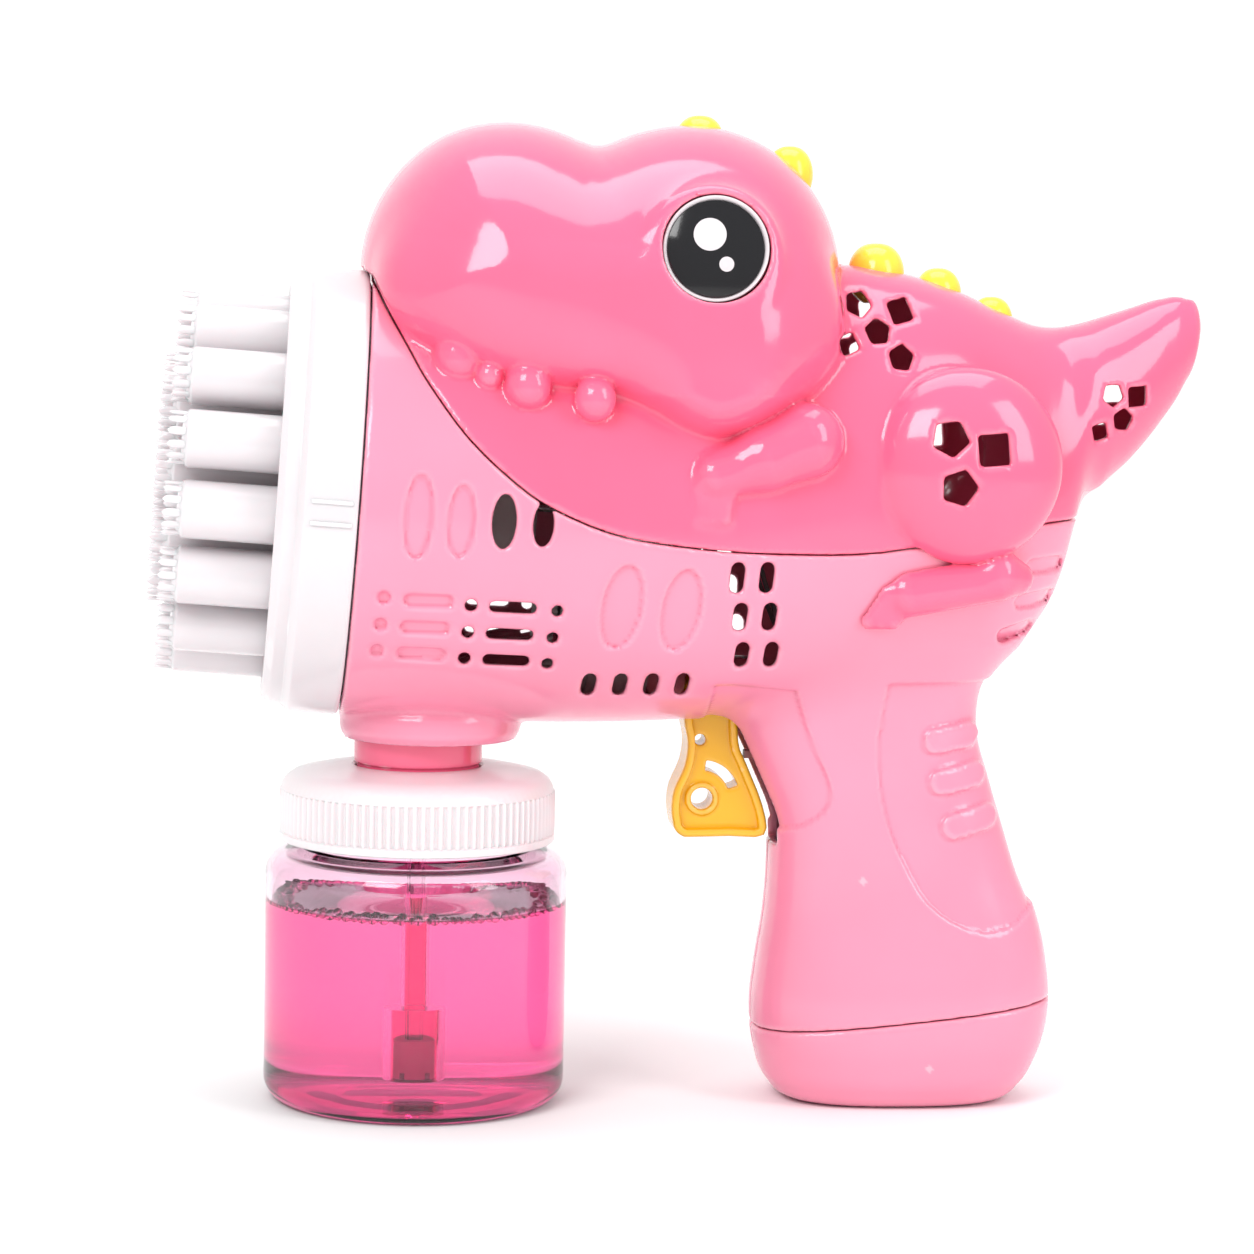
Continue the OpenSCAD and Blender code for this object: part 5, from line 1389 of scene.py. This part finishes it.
@dataclass
class Bottle:
    """Bottle with its thread, the solution in it, and the bubbles at its surface."""

    r: float = BOTTLE_HIGH.x
    wall: float = 1.4
    shoulder: float = 53.5
    neck: float = 24.2
    mouth: float = BOTTLE_HIGH.z
    fill: float = 42.7
    lead: float = 4.0

    def thread(self, name: str, z0: float) -> bpy.types.Object:
        """Helical thread on the neck.

        Args:
            name: name of the object.
            z0: height of the thread's start.

        Returns:
            The new object.
        """
        steps, rings = 72, []
        for i in range(steps + 1):
            a, z = math.radians(i * 5), z0 + self.lead * i / steps
            fade = min(1.0, i / 6, (steps - i) / 6)
            for r, dz in ((self.neck - 0.3, -0.85), (self.neck + 1.05 * fade, -0.4),
                          (self.neck + 1.05 * fade, 0.4), (self.neck - 0.3, 0.85)):
                rings.append((r * math.cos(a), r * math.sin(a), z + dz))
        faces = [(i * 4 + j, i * 4 + (j + 1) % 4, i * 4 + 4 + (j + 1) % 4, i * 4 + 4 + j)
                 for i in range(steps) for j in range(4)]
        faces += [(3, 2, 1, 0), (steps * 4, steps * 4 + 1, steps * 4 + 2, steps * 4 + 3)]
        return soften(mesh_object(name, np.array(rings), faces), 50)

    def profile(self, skin: float) -> list[Point2]:
        """Outline of the base and its corner, pulled in by a skin's thickness.

        Args:
            skin: distance inside the outer wall.

        Returns:
            The points, from the axis outward.
        """
        r = self.r
        line = [(0.001, skin * 1.8), (r - 14, skin * 1.5), (r - 8.2, skin * 1.15)]
        return line + arc(r - 4.7, 4.7 + skin * 0.4, 4.7 - skin, -80, 0)

    def build(self) -> list[bpy.types.Object]:
        """Makes the bottle, the solution and the ring of bubbles.

        Returns:
            The new pieces.
        """
        r, w, s, n = self.r, self.wall, self.shoulder, self.neck
        outer = [(0.001, 0.9), (9, 0.9), (9.6, 0.5), (14, 0.5), (14.6, 0.9), (20, 0.9), (21.5, 0)]
        outer.append((r - 4.7, 0))
        outer += arc(r - 4.7, 4.7, 4.7, -80, 0) + arc(r - 5, s - 5, 5, 0, 80)
        outer += [(n + 0.4, s + 0.4), (n, s + 0.9), (n, self.mouth - 0.3), (n - 0.4, self.mouth)]
        inner = [(n - w, self.mouth), (n - w, s)] + arc(r - 5, s - 5, 5 - w, 80, 0)
        inner += list(reversed(self.profile(w)))
        shell = lathe("bottle_shell", outer + inner, 128, False)
        shell = joined("bottle_shell", [shell, self.thread("bottle_thread", self.mouth - 6.2)])
        made = [settle(shell, BOTTLE_CLEAR, "bottle", ["bottle"])]
        wet = self.profile(w - 0.08)
        top, side = self.fill, r - w
        wet += [(side + 0.08, top - 1.2), (side + 0.04, top + 0.5), (side - 0.5, top + 0.1),
                (side - 1.5, top), (side - 6, top), (2.9, top), (2.3, top + 0.3), (2.2, top + 0.2)]
        wet += [(2.2, 20.7), (4.9, 20.7), (4.9, 5.5), (0.001, 5.5)]
        made.append(settle(lathe("solution", wet, 128, False), SOLUTION, "bottle",
                           ["bubble_solution"]))
        made.append(settle(self.bubbles(), BUBBLE, "bottle"))
        return made

    def bubbles(self) -> bpy.types.Object:
        """Ring of small bubbles where the solution meets the wall.

        Returns:
            The new object.
        """
        dice = np.random.default_rng(7)
        made = bmesh.new()
        a = 0.0
        while a < 2 * math.pi:
            size = float(dice.uniform(0.55, 1.25))
            for row in range(int(dice.integers(1, 3))):
                r = self.r - self.wall - size * (1.05 + 1.8 * row)
                place = Matrix.Translation((r * math.cos(a) * MM, r * math.sin(a) * MM,
                                            (self.fill + size * 0.35) * MM))
                bmesh.ops.create_icosphere(made, subdivisions=2, radius=size * MM, matrix=place)
            a += size * 2.05 / (self.r - self.wall)
        mesh = bpy.data.meshes.new("bubbles")
        made.to_mesh(mesh)
        made.free()
        obj = bpy.data.objects.new("surface_bubbles", mesh)
        bpy.context.scene.collection.objects.link(obj)
        return soften(obj, 80)


@dataclass
class Neck:
    """Neck socket and the ribbed captive cap."""

    cap_r: float = 29.2
    bore: float = 25.8
    cap_z: float = CAP_LOW.z
    cap_top: float = CAP_HIGH.z
    ceiling: float = 68.15
    socket_r: float = 13.6
    socket_wall: float = 2.4
    flange_r: float = 21.6
    flange_z: float = SOCKET_LOW.z
    ribs: int = 100

    def fluting(self, r: float, z: float, a: float) -> float:
        """Height of the cap's fine vertical ribs.

        Args:
            r: radius.
            z: places along Z.
            a: angle about the axis.

        Returns:
            The height.
        """
        if r < self.cap_r - 0.8 or not self.cap_z + 1.9 < z < self.cap_top - 5.4:
            return 0.0
        return 0.52 * max(math.cos(a * self.ribs), -0.35) - 0.22

    def build(self) -> list[bpy.types.Object]:
        """Makes the cap and the socket.

        Returns:
            The new pieces.
        """
        c, t, z = self.cap_r, self.cap_top, self.cap_z
        lip = self.socket_r - 0.2
        profile = [(self.bore + 0.1, z), (c - 0.2, z), (c, z + 0.25), (c, z + 1.5), (c - 0.25, z + 1.75)]
        profile += [(c - 0.3, z + 2.0 + k * (t - 5.5 - z - 2.0) / 3) for k in range(4)]
        profile += [(c - 0.3, t - 5.1), (c - 0.55, t - 4.2), (c - 1.2, t - 3.0), (c - 2.8, t - 1.9),
                    (c - 6.5, t - 1.1), (self.socket_r + 4, t - 0.3), (self.socket_r + 2, t),
                    (lip + 0.5, t), (lip, t - 0.5), (lip, self.ceiling), (self.bore, self.ceiling),
                    (self.bore, z + 0.2)]
        steps = self.ribs * 8
        cap = lathe("cap_shell", profile, steps, True, self.fluting)
        inner, f = self.socket_r - self.socket_wall, self.flange_z
        u = UNDER_Z
        tube = rounded([(inner, f), (self.flange_r, f), (self.flange_r, f + 2.6),
                        (self.socket_r - 0.6, f + 2.6),
                        (self.socket_r - 0.6, t + 0.3), (self.socket_r, t + 0.7), (self.socket_r, u - 5.1),
                        (self.socket_r - 0.1, u + 1.3), (self.socket_r + 2.2, u + 1.3),
                        (self.socket_r + 2.2, u + 2.6), (inner, u + 2.6)], 0.3)
        return [settle(cap, CAP_WHITE, "cap", ["bottle_cap"]),
                settle(lathe("neck_tube", tube, 96), HOT_PINK, "body", ["neck_socket"])]


@dataclass
class Trigger:
    """Yellow trigger with recessed webs, two holes and a curved slot."""

    wide: float = 13.0
    web: float = 2.0
    rim: float = 1.7
    pivot: Point2 = (62.5, 8.5)

    def build(self) -> list[bpy.types.Object]:
        """Makes the trigger.

        Returns:
            The new pieces.
        """
        t = UNDER_Z
        line = [(57, t + 6), (57, t + 3), (55.9, t - 0.5), (56.8, t - 5.5), (56.2, t - 10.5),
                (54.1, t - 15.5), (53.6, t - 19.6)] + arc(57.4, t - 22.4, 3.4, 185, 262, 6)
        line += [(66, t - 25.5), (73.6, t - 25.2), (73.2, t - 19), (69.5, t - 10), (67.6, t - 5),
                 (67.4, t + 6)]
        line += arc(self.pivot[0], t + self.pivot[1], 4.9, 0, 180, 12)
        grid = Grid((51.5, -self.wide / 2 - 1.2, t - 27.2), (77.2, self.wide / 2 + 1.2, t + 15),
                    0.34)
        g = grid.axes()
        x, z = g[0][:, 0], g[2][0]
        side = outline_distance(x, z, curve_through(line, 3, True))[:, None, :]
        y = np.abs(g[1])
        f = common(np.broadcast_to(side, side.shape[:1] + g[1].shape[1:2] + side.shape[2:]),
                   np.broadcast_to(y - self.wide / 2, np.broadcast_shapes(side.shape, y.shape)), 1.1)
        pocket = common(np.broadcast_to(side + self.rim, f.shape),
                        np.broadcast_to(self.wide / 2 - self.web - y, f.shape), 0.5)
        f = common(f, -pocket, 0.6)
        ring = np.minimum(np.hypot(x - 60.2, z - t + 17.6) - 2.3, np.hypot(x - 59.6, z - t + 5) - 1.2)
        slot = arc(60.2, t - 17.6, 8.2, 20, 84, 12) + arc(60.2, t - 17.6, 6.0, 84, 20, 12)
        holes = np.minimum(ring, outline_distance(x, z, slot))
        bore = np.hypot(x - self.pivot[0], z - t - self.pivot[1]) - 1.85
        f = common(f, -np.broadcast_to(np.minimum(holes, bore)[:, None, :], f.shape), 0.4)
        collar = np.maximum(np.abs(np.hypot(x - 60.2, z - t + 17.6) - 2.95) - 0.55, -9)[:, None, :]
        f = merge(f, np.maximum(collar, y - self.wide / 2 + self.web - 0.8), 0.3)
        return [settle(surface("trigger_lever", f, grid), YELLOW, "trigger", ["trigger"])]


# ---------------------------------------------------------------- inner parts


@dataclass
class InnerParts:
    """Finishes for the CAD nodes that keep their own meshes."""

    finishes: dict[str, Plastic | Metal | Clear] = field(default_factory=lambda: {
        "door_screw": STEEL, "case_screws": STEEL, "dino_screws": STEEL, "distributor_plate": SATIN,
        "air_duct": SATIN, "fan_housing": SATIN, "fan_impeller": BLUE, "motor_shaft": STEEL,
        "motor_can": STEEL, "motor_end_cap": DARK, "gear_frame": SATIN, "reduction_gear": SATIN,
        "gear_axle": STEEL, "pump_gear": SATIN, "pump_rotor": ORANGE, "pump_roller_1": STEEL,
        "pump_roller_2": STEEL, "pump_roller_3": STEEL, "pump_body": SATIN, "pump_cover": SATIN,
        "pump_tube": HOSE, "suction_tube": HOSE, "suction_filter": SATIN, "feed_tube": HOSE,
        "cap_seal": FOAM, "trigger_pin": STEEL, "trigger_spring": STEEL, "switch_body": DARK,
        "switch_plunger": RED, "battery_tray": DARK, "batteries": SLEEVE, "battery_springs": NICKEL,
        "battery_contacts": NICKEL, "battery_wires": RED, "motor_wires": DARK})

    def build(self) -> list[bpy.types.Object]:
        """Dresses every inner node that exists in the frame.

        Returns:
            The new pieces.
        """
        made = []
        for name, finish in self.finishes.items():
            obj = bpy.data.objects.get(name)
            if obj is None:
                LOG.warning("no node named %s", name)
                continue
            obj.data.materials.clear()
            obj.data.materials.append(finish.build())
            made.append(obj)
        return made


# ---------------------------------------------------------------- studio


@dataclass
class Studio:
    """Pale sweep, soft lights and the camera."""

    azimuth: float = -5.75
    elevation: float = 5.7
    roll: float = 1.15
    distance: float = 800.0
    lens: float = 108.1
    target: Point3 = (43.95, 0.0, 101.0)
    floor_tone: tuple[float, float, float] = (0.985, 0.985, 0.985)

    def sweep(self) -> bpy.types.Object:
        """Floor that curves up into the backdrop.

        Returns:
            The new object.
        """
        line = [(-900.0, 0.0), (420.0, 0.0)] + arc(420, 420, 420, -90, 0, 24) + [(840.0, 1500.0)]
        points = [(x, y, z) for y, z in line for x in (-1500.0, 1500.0)]
        faces = [(2 * i, 2 * i + 1, 2 * i + 3, 2 * i + 2) for i in range(len(line) - 1)]
        obj = soften(mesh_object("sweep", np.array(points), faces), 60)
        paper = bpy.data.materials.new("Studio paper")
        paper.use_nodes = True
        shader = paper.node_tree.nodes["Principled BSDF"]
        shader.inputs["Base Color"].default_value = (*self.floor_tone, 1)
        shader.inputs["Roughness"].default_value = 0.75
        obj.data.materials.append(paper)
        return obj

    def light(self, name: str, place: Point3, size: tuple[float, float], power: float,
              tone: tuple[float, float, float] = (1, 1, 1)) -> bpy.types.Object:
        """One soft box aimed at the toy.

        Args:
            name: name of the object.
            place: place of the lamp.
            size: width and height of the lamp.
            power: power in watts.
            tone: colour of the light.

        Returns:
            The lamp.
        """
        lamp = bpy.data.lights.new(name, "AREA")
        lamp.shape, lamp.size, lamp.size_y = "RECTANGLE", size[0] * MM, size[1] * MM
        lamp.energy, lamp.color = power, tone
        obj = bpy.data.objects.new(name, lamp)
        bpy.context.scene.collection.objects.link(obj)
        obj.location = Vector(place) * MM
        aim = (Vector(self.target) - Vector(place)).to_track_quat("-Z", "Y")
        obj.rotation_euler = aim.to_euler()
        return obj

    def camera(self) -> None:
        """Sets the view that shows the left side."""
        az, el, roll = (math.radians(v) for v in (self.azimuth, self.elevation, self.roll))
        back = Vector((math.sin(az) * math.cos(el), -math.cos(az) * math.cos(el), math.sin(el)))
        right = Vector((math.cos(az), math.sin(az), 0))
        up = back.cross(right)
        right_r = right * math.cos(roll) + up * math.sin(roll)
        up_r = up * math.cos(roll) - right * math.sin(roll)
        lens = bpy.data.cameras.new("camera")
        lens.lens, lens.sensor_width, lens.clip_start, lens.clip_end = self.lens, 36, 0.01, 20
        obj = bpy.data.objects.new("camera", lens)
        bpy.context.scene.collection.objects.link(obj)
        turn = Matrix((right_r, up_r, back)).transposed()
        place = Matrix.Translation((Vector(self.target) + back * self.distance) * MM)
        obj.matrix_world = place @ turn.to_4x4()
        bpy.context.scene.camera = obj

    def build(self) -> None:
        """Sets floor, lights, world and camera."""
        self.sweep()
        self.light("key", (-380, -620, 640), (420, 420), 4.6)
        self.light("side", (560, -420, 420), (240, 560), 1.9)
        self.light("top", (60, 60, 760), (620, 420), 2.4)
        world = bpy.data.worlds.new("studio")
        world.use_nodes = True
        shade = world.node_tree.nodes["Background"]
        shade.inputs["Color"].default_value = (1, 1, 1, 1)
        shade.inputs["Strength"].default_value = 0.66
        scene = bpy.context.scene
        scene.world = world
        scene.view_settings.view_transform = "Standard"
        self.camera()


def main() -> None:
    """Builds every sub-assembly in order."""
    logging.basicConfig(level=logging.INFO, format="%(name)s %(message)s")
    cell = 0.62
    forms = Forms()
    for builder in (Housing(forms, cell), Dinosaur(forms, cell), Face(), Nozzle(), Neck(), Bottle(),
                    Trigger(), InnerParts()):
        made = builder.build()
        LOG.info("%s: %d pieces", type(builder).__name__, len(made))
    Studio().build()


if __name__ == "__main__":
    main()
